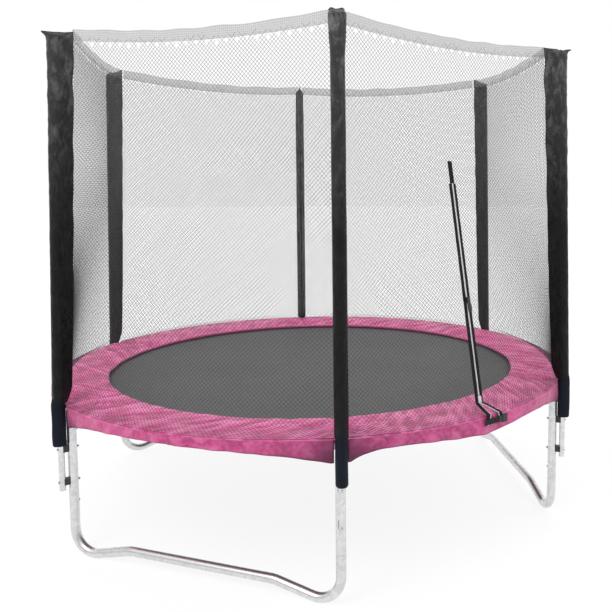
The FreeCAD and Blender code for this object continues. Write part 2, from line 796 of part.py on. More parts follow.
def make_door_clip():
    """Body with two prongs that reach into the socket."""
    middle = clip_face() + socket_thickness / 2
    x = (middle - clip_thickness / 2, middle + clip_thickness / 2)
    end = strap_spread - socket_clearance
    body = box(x, (end - clip_length, end), (strap_middle() - strap_height / 2 - 1,
                                             strap_middle() + strap_height / 2 + 1))
    prongs = []
    for side in (-1, 1):
        low, high = sorted((strap_middle() + side, strap_middle() + side * (prong_height + 1)))
        prongs.append(box(x, (end - 1, end + prong_length), (low, high)))
    return turned(body.fuse(prongs), door_angle)


def make_door_strap():
    middle = clip_face() + socket_thickness / 2
    end = strap_spread - socket_clearance - clip_length
    flat = box((middle - strap_thickness / 2, middle + strap_thickness / 2),
               (-strap_spread - strap_end, end), (strap_bottom, strap_bottom + strap_height))
    return turned(flat, door_angle)


rail = make_rail()
upper_leg = make_upper_leg()
lower_pole = make_lower_pole()
cover = make_cover()
net = make_net()
pad = make_pad()
print("rail", rail.Volume, "leg", upper_leg.Volume, "pole", lower_pole.Volume, "lean", pole_lean)

slit_top = chain_width / 2 + chain_side_gap + tape_width
slit_foot = slit_spread + tape_width
slit_points = [Vec(0, -slit_top, flare_height + 2), Vec(0, -slit_foot, net_bottom - 1),
               Vec(0, slit_foot, net_bottom - 1), Vec(0, slit_top, flare_height + 2)]
door_net = net.cut(prism(slit_points, Vec(2 * rail_radius, 0, 0)))

posts = range(post_count)
for post in posts:
    name = str(post + 1)
    save("top_rail_" + name, [at_post(rail, post)])
    save("upper_leg_" + name, [at_post(upper_leg, post)])
    save("lower_pole_" + name, [at_post(lower_pole, post)])
    save("pole_cover_" + name, [at_post(cover, post)])
    save("net_panel_" + name, [at_panel(door_net if post == door_post else net, post)])
    save("spring_pad_" + name, [at_panel(pad, post)])

for index, post in enumerate((1, 3, 5)):
    save("base_leg_" + str(index + 1), [make_base_leg(post)])

save("frame_screws", frame_screws())
save("upper_poles", [at_post(make_upper_pole(), post) for post in posts])
save("pole_caps", [at_post(make_pole_cap(), post) for post in posts])
save("foam_sleeves", [at_post(make_foam(rail_height - foam_drop), post) for post in posts])
save("pole_spacers", [at_post(make_spacer(z), post) for post in posts for z in bolt_heights])
save("pole_bolts", [at_post(make_bolt(z), post) for post in posts for z in bolt_heights])
save("pole_nuts", [at_post(make_nut(z), post) for post in posts for z in bolt_heights])
save("net_top_band", [at_panel(make_band(), post) for post in posts])
save("pad_ties", [turned(at_panel(make_tie(), post), turn) for post in posts for turn in tie_angles])

save("jump_mat", [make_mat()])
save("mat_hem", [make_hem()])
save("mat_rings", round_the_mat(make_ring()))
save("springs", round_the_mat(make_spring()))

save("zip_tapes", make_tapes())
save("zip_chain", [make_chain()])
slider, pin_offset = make_upper_slider()
save("zip_slider", [on_zip(slider)])
save("zip_pull", [on_zip(make_pull(pin_offset))])
save("lower_zip_slider", [on_zip(make_slider(lower_slider_place))])
save("door_socket", [make_door_socket()])
save("door_clip", [make_door_clip()])
save("door_strap", [make_door_strap()])

pin = on_zip(Part.Vertex(Vec(pin_offset, 0, pull_height()))).Point
print("pull pin", pin, "door angle", door_angle, "chain lean", chain_lean)
print("pad top", pad_top, "pole radius", pole_radius, "top middle", top_middle())
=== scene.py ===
import math

import bmesh
import bpy
import numpy as np
from mathutils import Matrix, Vector


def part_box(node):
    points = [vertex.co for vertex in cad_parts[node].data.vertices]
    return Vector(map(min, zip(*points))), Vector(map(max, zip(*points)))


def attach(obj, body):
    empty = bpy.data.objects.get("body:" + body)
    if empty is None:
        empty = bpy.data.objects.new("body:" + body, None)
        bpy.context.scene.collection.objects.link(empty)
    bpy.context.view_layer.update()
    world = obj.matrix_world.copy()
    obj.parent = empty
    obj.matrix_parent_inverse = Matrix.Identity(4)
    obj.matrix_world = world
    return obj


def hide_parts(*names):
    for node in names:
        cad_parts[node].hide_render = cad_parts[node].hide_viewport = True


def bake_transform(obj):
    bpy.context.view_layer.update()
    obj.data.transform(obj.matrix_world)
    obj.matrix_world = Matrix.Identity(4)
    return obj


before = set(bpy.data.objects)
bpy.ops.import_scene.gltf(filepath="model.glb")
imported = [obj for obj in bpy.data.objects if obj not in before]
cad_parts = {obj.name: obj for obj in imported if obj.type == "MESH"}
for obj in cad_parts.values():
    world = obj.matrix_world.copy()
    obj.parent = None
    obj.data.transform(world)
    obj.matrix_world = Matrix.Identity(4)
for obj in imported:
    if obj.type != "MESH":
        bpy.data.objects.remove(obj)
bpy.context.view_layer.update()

posts = range(6)                    # 0 is the front post, and the others follow anticlockwise
halfStep = math.pi / 6              # half of the angle between two posts


def postAngle(post):
    return math.radians(-90.0 + 60.0 * post)


# Shape helpers: points are arrays in metres, in the frame's axes.
def polar(radius, angle, height):
    radius, angle, height = np.broadcast_arrays(radius, angle, height)
    return np.stack([radius * np.cos(angle), radius * np.sin(angle), height + 0.0 * radius], -1)


def turned(out, side, height, angle):
    # out is measured from the middle, and side to its left, before the turn round Z
    x = out * math.cos(angle) - side * math.sin(angle)
    y = out * math.sin(angle) + side * math.cos(angle)
    return np.stack([x, y, height + 0 * x], -1)


def gridFaces(rows, columns, closed=False, start=0):
    wide = columns if closed else columns - 1
    r, c = np.meshgrid(np.arange(rows - 1), np.arange(wide), indexing="ij")
    here, there = r * columns, (c + 1) % columns
    corners = [here + c, here + there, here + columns + there, here + columns + c]
    return (np.stack(corners, -1).reshape(-1, 4) + start).tolist()


def turnOutward(mesh, merge):
    work = bmesh.new()
    work.from_mesh(mesh)
    if merge:
        bmesh.ops.remove_doubles(work, verts=work.verts, dist=1e-6)
    bmesh.ops.recalc_face_normals(work, faces=work.faces)
    work.to_mesh(mesh)
    work.free()


def makePiece(name, points, faces, material, smooth=True, outward=True, merge=True):
    mesh = bpy.data.meshes.new(name)
    mesh.from_pydata(np.asarray(points, float).reshape(-1, 3).tolist(), [], faces)
    if outward:
        turnOutward(mesh, merge)
    if smooth:
        mesh.shade_smooth()
    piece = bpy.data.objects.new(name, mesh)
    bpy.context.scene.collection.objects.link(piece)
    if material:
        mesh.materials.append(material)
    return piece


def gridNormals(grid, closed=False):
    if closed:
        across = np.roll(grid, -1, 1) - np.roll(grid, 1, 1)
    else:
        across = np.gradient(grid, axis=1)
    along = np.gradient(grid, axis=0)
    normal = np.cross(across, along)
    return normal / np.maximum(np.linalg.norm(normal, axis=-1, keepdims=True), 1e-12)


def clothShell(grid, thickness, closed=False):
    # a closed wall of one thickness round a grid of points
    offset = gridNormals(grid, closed) * thickness / 2
    rows, columns = grid.shape[:2]
    points = np.concatenate([(grid + offset).reshape(-1, 3), (grid - offset).reshape(-1, 3)])
    half = rows * columns
    faces = gridFaces(rows, columns, closed)
    faces += [[d, c, b, a] for a, b, c, d in gridFaces(rows, columns, closed, half)]
    border = []
    for c in range(columns if closed else columns - 1):
        n = (c + 1) % columns
        border.append((n, c))
        border.append(((rows - 1) * columns + c, (rows - 1) * columns + n))
    if not closed:
        for r in range(rows - 1):
            border.append((r * columns, (r + 1) * columns))
            border.append(((r + 1) * columns + columns - 1, r * columns + columns - 1))
    faces += [[a, b, b + half, a + half] for a, b in border]
    return points, faces


def joined(parts):
    points, faces, count = [], [], 0
    for partPoints, partFaces in parts:
        partPoints = np.asarray(partPoints, float).reshape(-1, 3)
        points.append(partPoints)
        faces += [[i + count for i in face] for face in partFaces]
        count += len(partPoints)
    return np.concatenate(points), faces


def ripple(x, y, seed, waves, count=7, ridged=False):
    # a sum of waves of about the given number per metre, the same on every run
    random = np.random.RandomState(seed)
    total = np.zeros(np.broadcast(x, y).shape)
    for _ in range(count):
        fx, fy = random.uniform(0.5, 1.5, 2) * np.array(waves) * random.choice([-1, 1], 2)
        wave = np.sin(2 * math.pi * (x * fx + y * fy) + random.uniform(0, 6.28))
        total += (1 - 2 * np.abs(wave)) if ridged else wave
    return total / math.sqrt(count)


def smoothStep(value, low, high):
    t = np.clip((value - low) / (high - low), 0, 1)
    return t * t * (3 - 2 * t)


# Material helpers: patterns follow Object coordinates in metres.
def newMaterial(name):
    material = bpy.data.materials.new(name)
    material.use_nodes = True
    tree = material.node_tree
    tree.nodes.clear()
    output = tree.nodes.new("ShaderNodeOutputMaterial")
    shader = tree.nodes.new("ShaderNodeBsdfPrincipled")
    tree.links.new(shader.outputs[0], output.inputs[0])
    return material, tree, shader


def addNode(tree, kind, inputs=None, **settings):
    node = tree.nodes.new(kind)
    for key, value in settings.items():
        setattr(node, key, value)
    for key, value in (inputs or {}).items():
        if isinstance(value, bpy.types.NodeSocket):
            tree.links.new(value, node.inputs[key])
        else:
            node.inputs[key].default_value = value
    return node


def mapped(tree, scale=(1, 1, 1), turn=(0, 0, 0)):
    place = addNode(tree, "ShaderNodeTexCoord").outputs["Object"]
    inputs = {"Vector": place, "Scale": scale, "Rotation": turn}
    return addNode(tree, "ShaderNodeMapping", inputs).outputs[0]


def noise(tree, where, scale, detail=3.0, rough=0.5, distort=0.0):
    inputs = {"Vector": where, "Scale": scale, "Detail": detail, "Roughness": rough, "Distortion": distort}
    return addNode(tree, "ShaderNodeTexNoise", inputs).outputs[0]


def spread(tree, value, low, high, fromLow=0.3, fromHigh=0.7):
    inputs = {"Value": value, "From Min": fromLow, "From Max": fromHigh, "To Min": low, "To Max": high}
    return addNode(tree, "ShaderNodeMapRange", inputs).outputs[0]


def blendColour(tree, factor, first, second):
    node = addNode(tree, "ShaderNodeMix", data_type="RGBA")
    for index, value in ((0, factor), (6, first), (7, second)):     # the factor, and both colour sockets
        if isinstance(value, bpy.types.NodeSocket):
            tree.links.new(value, node.inputs[index])
        else:
            node.inputs[index].default_value = value if index == 0 else (*value, 1)
    return node.outputs[2]


def mathNode(tree, kind, first, second=0.0):
    return addNode(tree, "ShaderNodeMath", {0: first, 1: second}, operation=kind).outputs[0]


def drive(tree, shader, colour, roughness):
    tree.links.new(colour, shader.inputs["Base Color"])
    tree.links.new(roughness, shader.inputs["Roughness"])


def cloudy(tree, shader, cloud, look):
    # colour and roughness that follow one soft pattern
    tone = blendColour(tree, spread(tree, cloud, 0, 1), look["dark"], look["pale"])
    drive(tree, shader, tone, spread(tree, cloud, *look["rough"]))


def bumps(tree, shader, layers):
    # layers are (height, strength, distance), from the lowest to the topmost
    last = None
    for height, strength, distance in layers:
        node = addNode(tree, "ShaderNodeBump", {"Height": height, "Strength": strength, "Distance": distance})
        if last:
            tree.links.new(last, node.inputs["Normal"])
        last = node.outputs[0]
    tree.links.new(last, shader.inputs["Normal"])


def weaveHeight(tree, where, pitch):
    parts = addNode(tree, "ShaderNodeSeparateXYZ", {"Vector": where})
    waves = []
    for axis in (0, 1):
        phase = mathNode(tree, "MULTIPLY", parts.outputs[axis], 2 * math.pi / pitch)
        waves.append(mathNode(tree, "SINE", phase))
    return mathNode(tree, "MULTIPLY", waves[0], waves[1])


tubeLook = {"bright": (0.74, 0.745, 0.75), "dull": (0.60, 0.605, 0.615), "spangle": 70.0,
            "rough": (0.26, 0.38)}
zincLook = {"bright": (0.70, 0.70, 0.68), "dull": (0.48, 0.48, 0.47), "spangle": 260.0, "rough": (0.28, 0.45)}
wireLook = {"bright": (0.72, 0.72, 0.72), "dull": (0.52, 0.52, 0.53), "spangle": 200.0, "rough": (0.25, 0.40)}
castLook = {"bright": (0.78, 0.78, 0.77), "dull": (0.60, 0.60, 0.60), "spangle": 300.0, "rough": (0.30, 0.45)}


def metalFinish(name, look):
    material, tree, shader = newMaterial(name)
    where = mapped(tree)
    cells = addNode(tree, "ShaderNodeTexVoronoi", {"Vector": where, "Scale": look["spangle"]})
    tone = addNode(tree, "ShaderNodeSeparateColor", {"Color": cells.outputs["Color"]}).outputs[0]
    cloud = noise(tree, where, 9.0, 4.0)
    speckled, clouded = mathNode(tree, "MULTIPLY", tone, 0.4), mathNode(tree, "MULTIPLY", cloud, 0.6)
    mixed = mathNode(tree, "ADD", speckled, clouded)
    colour = blendColour(tree, spread(tree, mixed, 0, 1, 0.25, 0.75), look["dull"], look["bright"])
    polish, matt = look["rough"]
    drive(tree, shader, colour, spread(tree, mixed, matt, polish, 0.25, 0.75))
    shader.inputs["Metallic"].default_value = 1.0
    bumps(tree, shader, [(noise(tree, where, 420.0, 2.0), 0.10, 0.0004)])
    return material


# one colour here is a painted sheen highlight, laid in light streaks up the sleeve
coverLook = {"dark": (0.0030, 0.0030, 0.0034), "pale": (0.0110, 0.0110, 0.0115),
             "paintedSheen": (0.150, 0.150, 0.153), "sheenFrom": 1.35, "sheenTo": 2.05, "palingFrom": 0.9,
             "palingTo": 2.0, "rough": (0.22, 0.42), "gloss": 0.16, "weave": 0.0016}


def sleeveClothFinish():
    look = coverLook
    material, tree, shader = newMaterial("blackSleeveCloth")
    where, stretched = mapped(tree), mapped(tree, (1, 1, 0.35))
    crinkle = noise(tree, stretched, 26.0, 5.0, 0.55, 1.2)
    scuff = noise(tree, where, 7.0, 4.0, 0.6)
    height = addNode(tree, "ShaderNodeSeparateXYZ", {"Vector": where}).outputs[2]
    # paler towards the top, where the sleeve is baggy, and painted there with light streaks of sheen
    # highlight
    topPaling = spread(tree, height, 0.15, 1.0, look["palingFrom"], look["palingTo"])
    scuffedPaling = mathNode(tree, "MULTIPLY", topPaling, scuff)
    tone = blendColour(tree, spread(tree, scuffedPaling, 0, 1, 0.15, 0.6), look["dark"], look["pale"])
    sheenNoise = noise(tree, mapped(tree, (1, 1, 0.55)), 30.0, 6.0, 0.62, 0.5)
    paintedSheen = spread(tree, sheenNoise, 0.22, 1.0, 0.48, 0.72)
    reach = spread(tree, height, 0.05, 0.85, look["sheenFrom"], look["sheenTo"])
    # painted sheen: light streaks of highlight blended into the colour near the top
    tone = blendColour(tree, mathNode(tree, "MULTIPLY", paintedSheen, reach), tone, look["paintedSheen"])
    drive(tree, shader, tone, spread(tree, crinkle, *look["rough"]))
    shader.inputs["Specular IOR Level"].default_value = look["gloss"]
    fine = noise(tree, stretched, 95.0, 3.0, 0.5, 0.6)
    bumps(tree, shader, [(crinkle, 0.8, 0.018), (fine, 0.4, 0.0035),
                         (weaveHeight(tree, where, look["weave"]), 0.15, 0.0002)])
    return material


foamLook = {"dark": (0.0030, 0.0050, 0.0110), "pale": (0.0060, 0.0090, 0.0180), "rough": (0.6, 0.75),
            "gloss": 0.15, "pores": 900.0}


def foamFinish():
    look = foamLook
    material, tree, shader = newMaterial("navyFoam")
    where = mapped(tree)
    pores = addNode(tree, "ShaderNodeTexVoronoi", {"Vector": where, "Scale": look["pores"]})
    cloud = noise(tree, where, 14.0, 4.0)
    cloudy(tree, shader, cloud, look)
    shader.inputs["Specular IOR Level"].default_value = look["gloss"]
    bumps(tree, shader, [(pores.outputs["Distance"], 0.25, 0.0006), (cloud, 0.2, 0.003)])
    return material


yarnLook = {"dark": (0.058, 0.058, 0.060), "pale": (0.080, 0.080, 0.080), "rough": (0.55, 0.75),
            "gloss": 0.2, "cover": 0.45}


def yarnFinish():
    look = yarnLook
    material, tree, shader = newMaterial("netYarn")
    where = mapped(tree)
    cloud = noise(tree, where, 30.0, 3.0)
    cloudy(tree, shader, cloud, look)
    shader.inputs["Specular IOR Level"].default_value = look["gloss"]
    shader.inputs["Alpha"].default_value = look["cover"]        # fine translucent yarn
    bumps(tree, shader, [(noise(tree, where, 1500.0, 1.0), 0.3, 0.0004)])
    return material


bandLook = {"pale": (0.52, 0.52, 0.52), "dark": (0.020, 0.020, 0.021), "middle": (0.20, 0.20, 0.20),
            "rough": (0.6, 0.8), "pitch": 0.0117, "cover": 0.31}


def doubledNetFinish():
    look = bandLook
    material, tree, shader = newMaterial("doubledNetting")
    flat = addNode(tree, "ShaderNodeUVMap", uv_map="UVMap").outputs[0]
    inputs = {"Vector": flat, "Rotation": (0, 0, math.radians(45))}
    bias = addNode(tree, "ShaderNodeMapping", inputs).outputs[0]
    lattice = weaveHeight(tree, bias, look["pitch"])
    cloud = noise(tree, mapped(tree), 12.0, 3.0)
    tone = blendColour(tree, spread(tree, lattice, 0, 1, -0.6, 0.6), look["dark"], look["pale"])
    drive(tree, shader, blendColour(tree, spread(tree, cloud, 0.0, 0.25), tone, look["middle"]),
          spread(tree, cloud, *look["rough"]))
    shader.inputs["Alpha"].default_value = look["cover"]
    bumps(tree, shader, [(lattice, 0.5, 0.0012), (cloud, 0.3, 0.004)])
    return material


# the lightest pink is a painted highlight, the deep pink is painted shade in the folds, and the shadow colour
# is painted shade
pinkLook = {"main": (0.86, 0.080, 0.330), "highlightPink": (0.95, 0.280, 0.560), "deep": (0.55, 0.034, 0.180),
            "shadow": (0.055, 0.008, 0.035), "rough": (0.32, 0.50), "gloss": 0.35, "sheen": 0.10,
            "weave": 0.0020}


def padClothFinish():
    look = pinkLook
    material, tree, shader = newMaterial("pinkPadCloth")
    where = mapped(tree)
    folds = noise(tree, where, 9.0, 5.0, 0.55, 1.6)
    sheenFleck = noise(tree, where, 60.0, 3.0, 0.6)
    # painted shade: the deep pink lies in the hollows of the fold bump; flecks of highlight pink are painted
    # sheen
    tone = blendColour(tree, spread(tree, folds, 0, 1, 0.35, 0.65), look["deep"], look["main"])
    tone = blendColour(tree, spread(tree, sheenFleck, 0, 0.55, 0.4, 0.7), tone, look["highlightPink"])
    # both attributes are worked out with the pad's folds: glint is a painted highlight and shade is painted
    # shade
    glint = addNode(tree, "ShaderNodeAttribute", attribute_name="glint").outputs["Fac"]
    shade = addNode(tree, "ShaderNodeAttribute", attribute_name="shade").outputs["Fac"]
    tone = blendColour(tree, glint, tone, look["highlightPink"])
    drive(tree, shader, blendColour(tree, shade, tone, look["shadow"]), spread(tree, sheenFleck, *look["rough"]))
    shader.inputs["Specular IOR Level"].default_value = look["gloss"]
    shader.inputs["Sheen Weight"].default_value = look["sheen"]
    bumps(tree, shader, [(folds, 0.5, 0.010), (noise(tree, where, 34.0, 4.0, 0.5, 1.0), 0.35, 0.003),
                         (weaveHeight(tree, where, look["weave"]), 0.2, 0.0003)])
    return material


matLook = {"dark": (0.050, 0.050, 0.052), "pale": (0.095, 0.096, 0.098), "cloud": (0.085, 0.086, 0.088),
           "scuff": (0.13, 0.13, 0.132), "rough": (0.50, 0.62), "pitch": 0.0036, "turn": 15.0}


def matFinish():
    look = matLook
    material, tree, shader = newMaterial("matWeave")
    where = mapped(tree, turn=(0, 0, math.radians(look["turn"])))
    threads = weaveHeight(tree, where, look["pitch"])
    cloud = noise(tree, where, 2.2, 4.0, 0.6)
    wear = noise(tree, where, 40.0, 3.0, 0.6)
    tone = blendColour(tree, spread(tree, threads, 0, 1, -0.8, 0.8), look["dark"], look["pale"])
    tone = blendColour(tree, spread(tree, cloud, 0.0, 0.5, 0.3, 0.7), tone, look["cloud"])
    drive(tree, shader, blendColour(tree, spread(tree, wear, 0.0, 0.2, 0.45, 0.75), tone, look["scuff"]),
          spread(tree, cloud, *look["rough"]))
    bumps(tree, shader, [(threads, 0.4, 0.0006)])
    return material


webbingLook = {"dark": (0.012, 0.012, 0.013), "pale": (0.028, 0.028, 0.030), "rough": (0.57, 0.73),
               "pitch": 0.0018, "gloss": 0.15}
zipTapeLook = {"dark": (0.005, 0.005, 0.0055), "pale": (0.011, 0.011, 0.012), "rough": (0.57, 0.73),
               "pitch": 0.0012, "gloss": 0.15}


def tapeFinish(name, look):
    material, tree, shader = newMaterial(name)
    where = mapped(tree)
    ribs = weaveHeight(tree, where, look["pitch"])
    cloud = noise(tree, where, 45.0, 3.0)
    cloudy(tree, shader, cloud, look)
    shader.inputs["Specular IOR Level"].default_value = look["gloss"]
    bumps(tree, shader, [(ribs, 0.35, 0.0004), (cloud, 0.2, 0.001)])
    return material


def mouldedFinish(name, colour, roughness):
    material, tree, shader = newMaterial(name)
    where = mapped(tree)
    grain = noise(tree, where, 600.0, 2.0)
    cloud = noise(tree, where, 25.0, 3.0)
    pale = tuple(min(1.0, c * 1.25 + 0.004) for c in colour)
    cloudy(tree, shader, cloud, {"dark": colour, "pale": pale, "rough": (roughness - 0.06, roughness + 0.08)})
    bumps(tree, shader, [(grain, 0.15, 0.0003)])
    return material


tubeSteel = metalFinish("galvanisedTube", tubeLook)
zincPlate = metalFinish("zincPlate", zincLook)
springSteel = metalFinish("springSteel", wireLook)
paleCasting = metalFinish("paleCasting", castLook)
sleeveCloth = sleeveClothFinish()
foam = foamFinish()
yarn = yarnFinish()
netting = doubledNetFinish()
pink = padClothFinish()
weave = matFinish()
webbing = tapeFinish("blackWebbing", webbingLook)
zipCloth = tapeFinish("zipTapeCloth", zipTapeLook)
blackPlastic = mouldedFinish("blackPlastic", (0.014, 0.014, 0.015), 0.42)
whitePlastic = mouldedFinish("whiteTeeth", (0.62, 0.62, 0.62), 0.40)
blackMetal = mouldedFinish("blackCasting", (0.020, 0.020, 0.021), 0.30)
print("materials made")

# the hard parts keep their own shape and take these finishes
hardNodes = {tubeSteel: ["top_rail_", "upper_leg_", "base_leg_", "lower_pole_", "upper_poles"],
             zincPlate: ["frame_screws", "pole_bolts", "pole_nuts"], springSteel: ["mat_rings"],
             blackPlastic: ["pole_spacers", "pole_caps", "door_socket", "door_clip", "zip_pull"],
             blackMetal: ["zip_slider"], paleCasting: ["lower_zip_slider"]}
for material, starts in hardNodes.items():
    for name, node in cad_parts.items():
        if name.startswith(tuple(starts)):
            node.data.materials.clear()
            node.data.materials.append(material)

cameraSet = {"place": (-0.274, -3.881, 1.554), "yaw": 10.644, "pitch": 5.718, "roll": 0.052, "lens": 45.546,
             "shiftX": -0.1595, "shiftY": -0.0813}


def makeCamera():
    data = bpy.data.cameras.new("viewCamera")
    data.lens = cameraSet["lens"]
    data.sensor_width = 36.0
    data.shift_x = cameraSet["shiftX"]
    data.shift_y = cameraSet["shiftY"]
    data.clip_end = 100.0
    camera = bpy.data.objects.new("viewCamera", data)
    bpy.context.scene.collection.objects.link(camera)
    yaw, pitch, roll = (math.radians(cameraSet[key]) for key in ("yaw", "pitch", "roll"))
    forward = Vector((math.sin(yaw) * math.cos(pitch), math.cos(yaw) * math.cos(pitch), -math.sin(pitch)))
    right = Vector((math.cos(yaw), -math.sin(yaw), 0.0))
    up = right.cross(forward)
    rolledRight = right * math.cos(roll) + up * math.sin(roll)
    rolledUp = up * math.cos(roll) - right * math.sin(roll)
    facing = Matrix((rolledRight, rolledUp, -forward)).transposed().to_4x4()
    camera.matrix_world = Matrix.Translation(cameraSet["place"]) @ facing
    bpy.context.scene.camera = camera


studio = {"skyBack": 1.0, "skyFront": 0.50, "keyPlace": (-3.2, -4.2, 5.2), "keyPower": 170.0,
          "fillPlace": (4.5, -2.5, 3.5), "fillPower": 50.0, "lampSize": 3.0, "lampAim": (0, 0, 0.8),
          "floorRadius": 40.0, "floorColour": (0.13, 0.13, 0.13), "floorCloud": 0.985,
          "floorGlow": 0.865}


def areaLight(name, place, power):
    data = bpy.data.lights.new(name, "AREA")
    data.shape = "DISK"
    data.size = studio["lampSize"]
    data.energy = power
    lamp = bpy.data.objects.new(name, data)
    bpy.context.scene.collection.objects.link(lamp)
    lamp.location = place
    lamp.rotation_euler = (Vector(studio["lampAim"]) - Vector(place)).to_track_quat("-Z", "Y").to_euler()


def makeSky():
    world = bpy.data.worlds.new("softSky")
    bpy.context.scene.world = world
    world.use_nodes = True
    tree = world.node_tree
    tree.nodes.clear()
    out = tree.nodes.new("ShaderNodeOutputWorld")
    sky = tree.nodes.new("ShaderNodeBackground")
    way = addNode(tree, "ShaderNodeTexCoord").outputs["Generated"]
    parts = addNode(tree, "ShaderNodeSeparateXYZ", {"Vector": way})
    # white behind the part and overhead, greyer on the near side
    low = spread(tree, parts.outputs[1], studio["skyFront"], studio["skyBack"], -0.6, 0.6)
    overhead = spread(tree, parts.outputs[2], 0.0, 1.0, 0.1, 0.7)
    tree.links.new(blendColour(tree, overhead, low, (1.0, 1.0, 1.0)), sky.inputs[0])
    tree.links.new(sky.outputs[0], out.inputs[0])


def makeFloor():
    turn = np.linspace(0, 2 * math.pi, 65)[:-1]
    rim = polar(studio["floorRadius"], turn, 0.0)
    floor = makePiece("studioFloor", rim, [list(range(64))], None, smooth=False, outward=False)
    material, tree, shader = newMaterial("paleFloor")
    cloud = noise(tree, mapped(tree), 0.8, 2.0)
    colour = studio["floorColour"]
    clouded = tuple(c * studio["floorCloud"] for c in colour)
    tree.links.new(blendColour(tree, cloud, colour, clouded), shader.inputs["Base Color"])
    shader.inputs["Roughness"].default_value = 0.7
    shader.inputs["Specular IOR Level"].default_value = 0.2
    shader.inputs["Emission Color"].default_value = (1, 1, 1, 1)
    shader.inputs["Emission Strength"].default_value = studio["floorGlow"]      # keeps its shadow faint
    floor.data.materials.append(material)


makeCamera()
makeSky()
areaLight("keyLight", studio["keyPlace"], studio["keyPower"])
areaLight("fillLight", studio["fillPlace"], studio["fillPower"])
makeFloor()
bpy.context.scene.view_settings.view_transform = "Standard"
print("camera and studio made")

# Pole covers are flat sleeves, round over the pole and drawn to a seam on the net's side.
poleSizes = {"radius": 1.2445, "bend": 0.650, "slope": 0.028767}
coverSizes = {"round": 0.0255, "tip": 0.0035, "wall": 0.0011, "foot": 0.650, "top": 2.128, "rings": 220,
              "poleSide": 22, "flank": 12, "seamSide": 5, "crowding": 1.25,
              "closeAt": (2.1055, 2.1275), "earAt": (2.092, 2.127), "bulgeAt": (1.95, 2.09),
              "crumpleAt": (1.55, 2.02), "baggyAt": (0.9, 1.9),
              "crease": 0.0022, "crumple": 0.0014, "fold": 0.0022, "seamWave": 0.0018,
              "widths": ((0.650, 0.056), (0.672, 0.066), (0.705, 0.077), (1.0435, 0.086), (2.130, 0.098))}
# each post's top: bagginess, ear at the outer corner, its rise, dip, slant to the outside, and notch
coverTops = [dict(bulge=0.0060, ear=0.000, gathered=True),
             dict(bulge=0.002, ear=0.014, rise=-0.004, dip=0.000, slant=-0.016, notch=0.007),
             dict(bulge=0.000, ear=0.000, rise=-0.012, dip=0.000, slant=-0.012, notch=0.000),
             dict(bulge=-0.006, ear=0.000, rise=0.000, dip=-0.022, slant=0.000, notch=0.000),
             dict(bulge=0.000, ear=0.000, rise=-0.010, dip=-0.016, slant=-0.006, notch=-0.006),
             dict(bulge=0.002, ear=0.016, rise=0.000, dip=0.000, slant=-0.016, notch=0.001)]


def poleAxis(height):
    return poleSizes["radius"] - np.maximum(0.0, height - poleSizes["bend"]) * poleSizes["slope"]


def coverWidth(height):
    heights, widths = zip(*coverSizes["widths"])
    return np.interp(height, heights, widths)


def seamRadius(height):
    return poleAxis(height) + coverSizes["round"] - coverWidth(height)


def sleeveOutline(z, closing, bulge):
    # a large arc round the pole, a flank, a small arc at the seam, and the other flank
    c = coverSizes
    large = c["round"] + bulge * smoothStep(z, *c["bulgeAt"])
    tip = c["tip"] * (1 - 0.4 * closing)
    reach = coverWidth(z) - c["round"] - tip
    lean = np.arccos(np.clip((large - tip) / reach, -1, 1))
    turn = (math.pi - lean) * np.linspace(-1, 1, c["poleSide"])[None, :]
    poleSide = np.stack([large * np.cos(turn), large * np.sin(turn)], -1)
    turn = lean * np.linspace(1, -1, c["seamSide"])[None, :]
    seamSide = np.stack([-reach - tip * np.cos(turn), tip * np.sin(turn)], -1)
    steps = np.linspace(0, 1, c["flank"] + 2)[1:-1][None, :, None]
    there = poleSide[:, -1:] * (1 - steps) + seamSide[:, :1] * steps
    back = seamSide[:, -1:] * (1 - steps) + poleSide[:, :1] * steps
    return np.concatenate([poleSide, there, seamSide, back], 1)


def sleeveWrinkles(r, z, post, columns):
    c = coverSizes
    crease = ripple(r, z, 11 + post, (9.0, 5.0), 8, ridged=True) * c["crease"]
    crumple = ripple(r, z, 511 + post, (17.0, 15.0), 9, ridged=True) * c["crumple"]
    around = np.linspace(0, 1, columns)[None, :]
    fold = ripple(around, z, 41 + post, (2.0, 2.6), 6) * c["fold"]
    return crease + crumple * (0.2 + 0.8 * smoothStep(z, *c["crumpleAt"])) + fold


def coverGrid(post):
    c, top = coverSizes, coverTops[post]
    share = np.linspace(0, 1, c["rings"])
    rise = 1 - (1 - share) ** c["crowding"]                 # the rings crowd to the top
    z = (c["foot"] + (c["top"] - c["foot"]) * rise)[:, None]
    closing = smoothStep(z, *c["closeAt"])           # the sleeve flattens to its top seam
    outline = sleeveOutline(z, closing, top["bulge"])
    r, t = outline[..., 0], outline[..., 1] * (1 - 0.88 * closing)
    if "gathered" in top:                       # drawn shut across the pole, in two lobes
        t = outline[..., 1] * (1 - 0.10 * closing)
        r = -0.022 + (r + 0.022) * (1 - 0.80 * closing)
    outer = np.clip(r / c["round"], 0, 1)
    r = r + top["ear"] * outer * smoothStep(z, *c["earAt"]) + 0.004 * outer * closing
    baggy = 0.35 + 0.65 * smoothStep(z, *c["baggyAt"])
    puff = sleeveWrinkles(r, z, post, outline.shape[1]) * baggy * (1 - 0.7 * closing)
    flank = np.clip(-r / 0.02, 0.15, 1)
    side = np.where(t >= 0, 1.0, -1.0) * np.clip(np.abs(t) / 0.006, 0.0, 1.0)
    t = t + side * np.maximum(puff * flank, -0.6 * np.abs(t))
    r = r + np.where(r > 0.012, np.abs(puff) * 0.4, 0.0)
    seamWave = ripple(z, z * 0, 71 + post, (7.0, 0.0), 5) * c["seamWave"] * baggy
    r = r + seamWave * np.clip(-r / 0.07, 0, 1)
    lift = closing * topLine(top, r, t, outline[..., 1])
    return turned(poleAxis(z) + r, t, z + lift, postAngle(post))


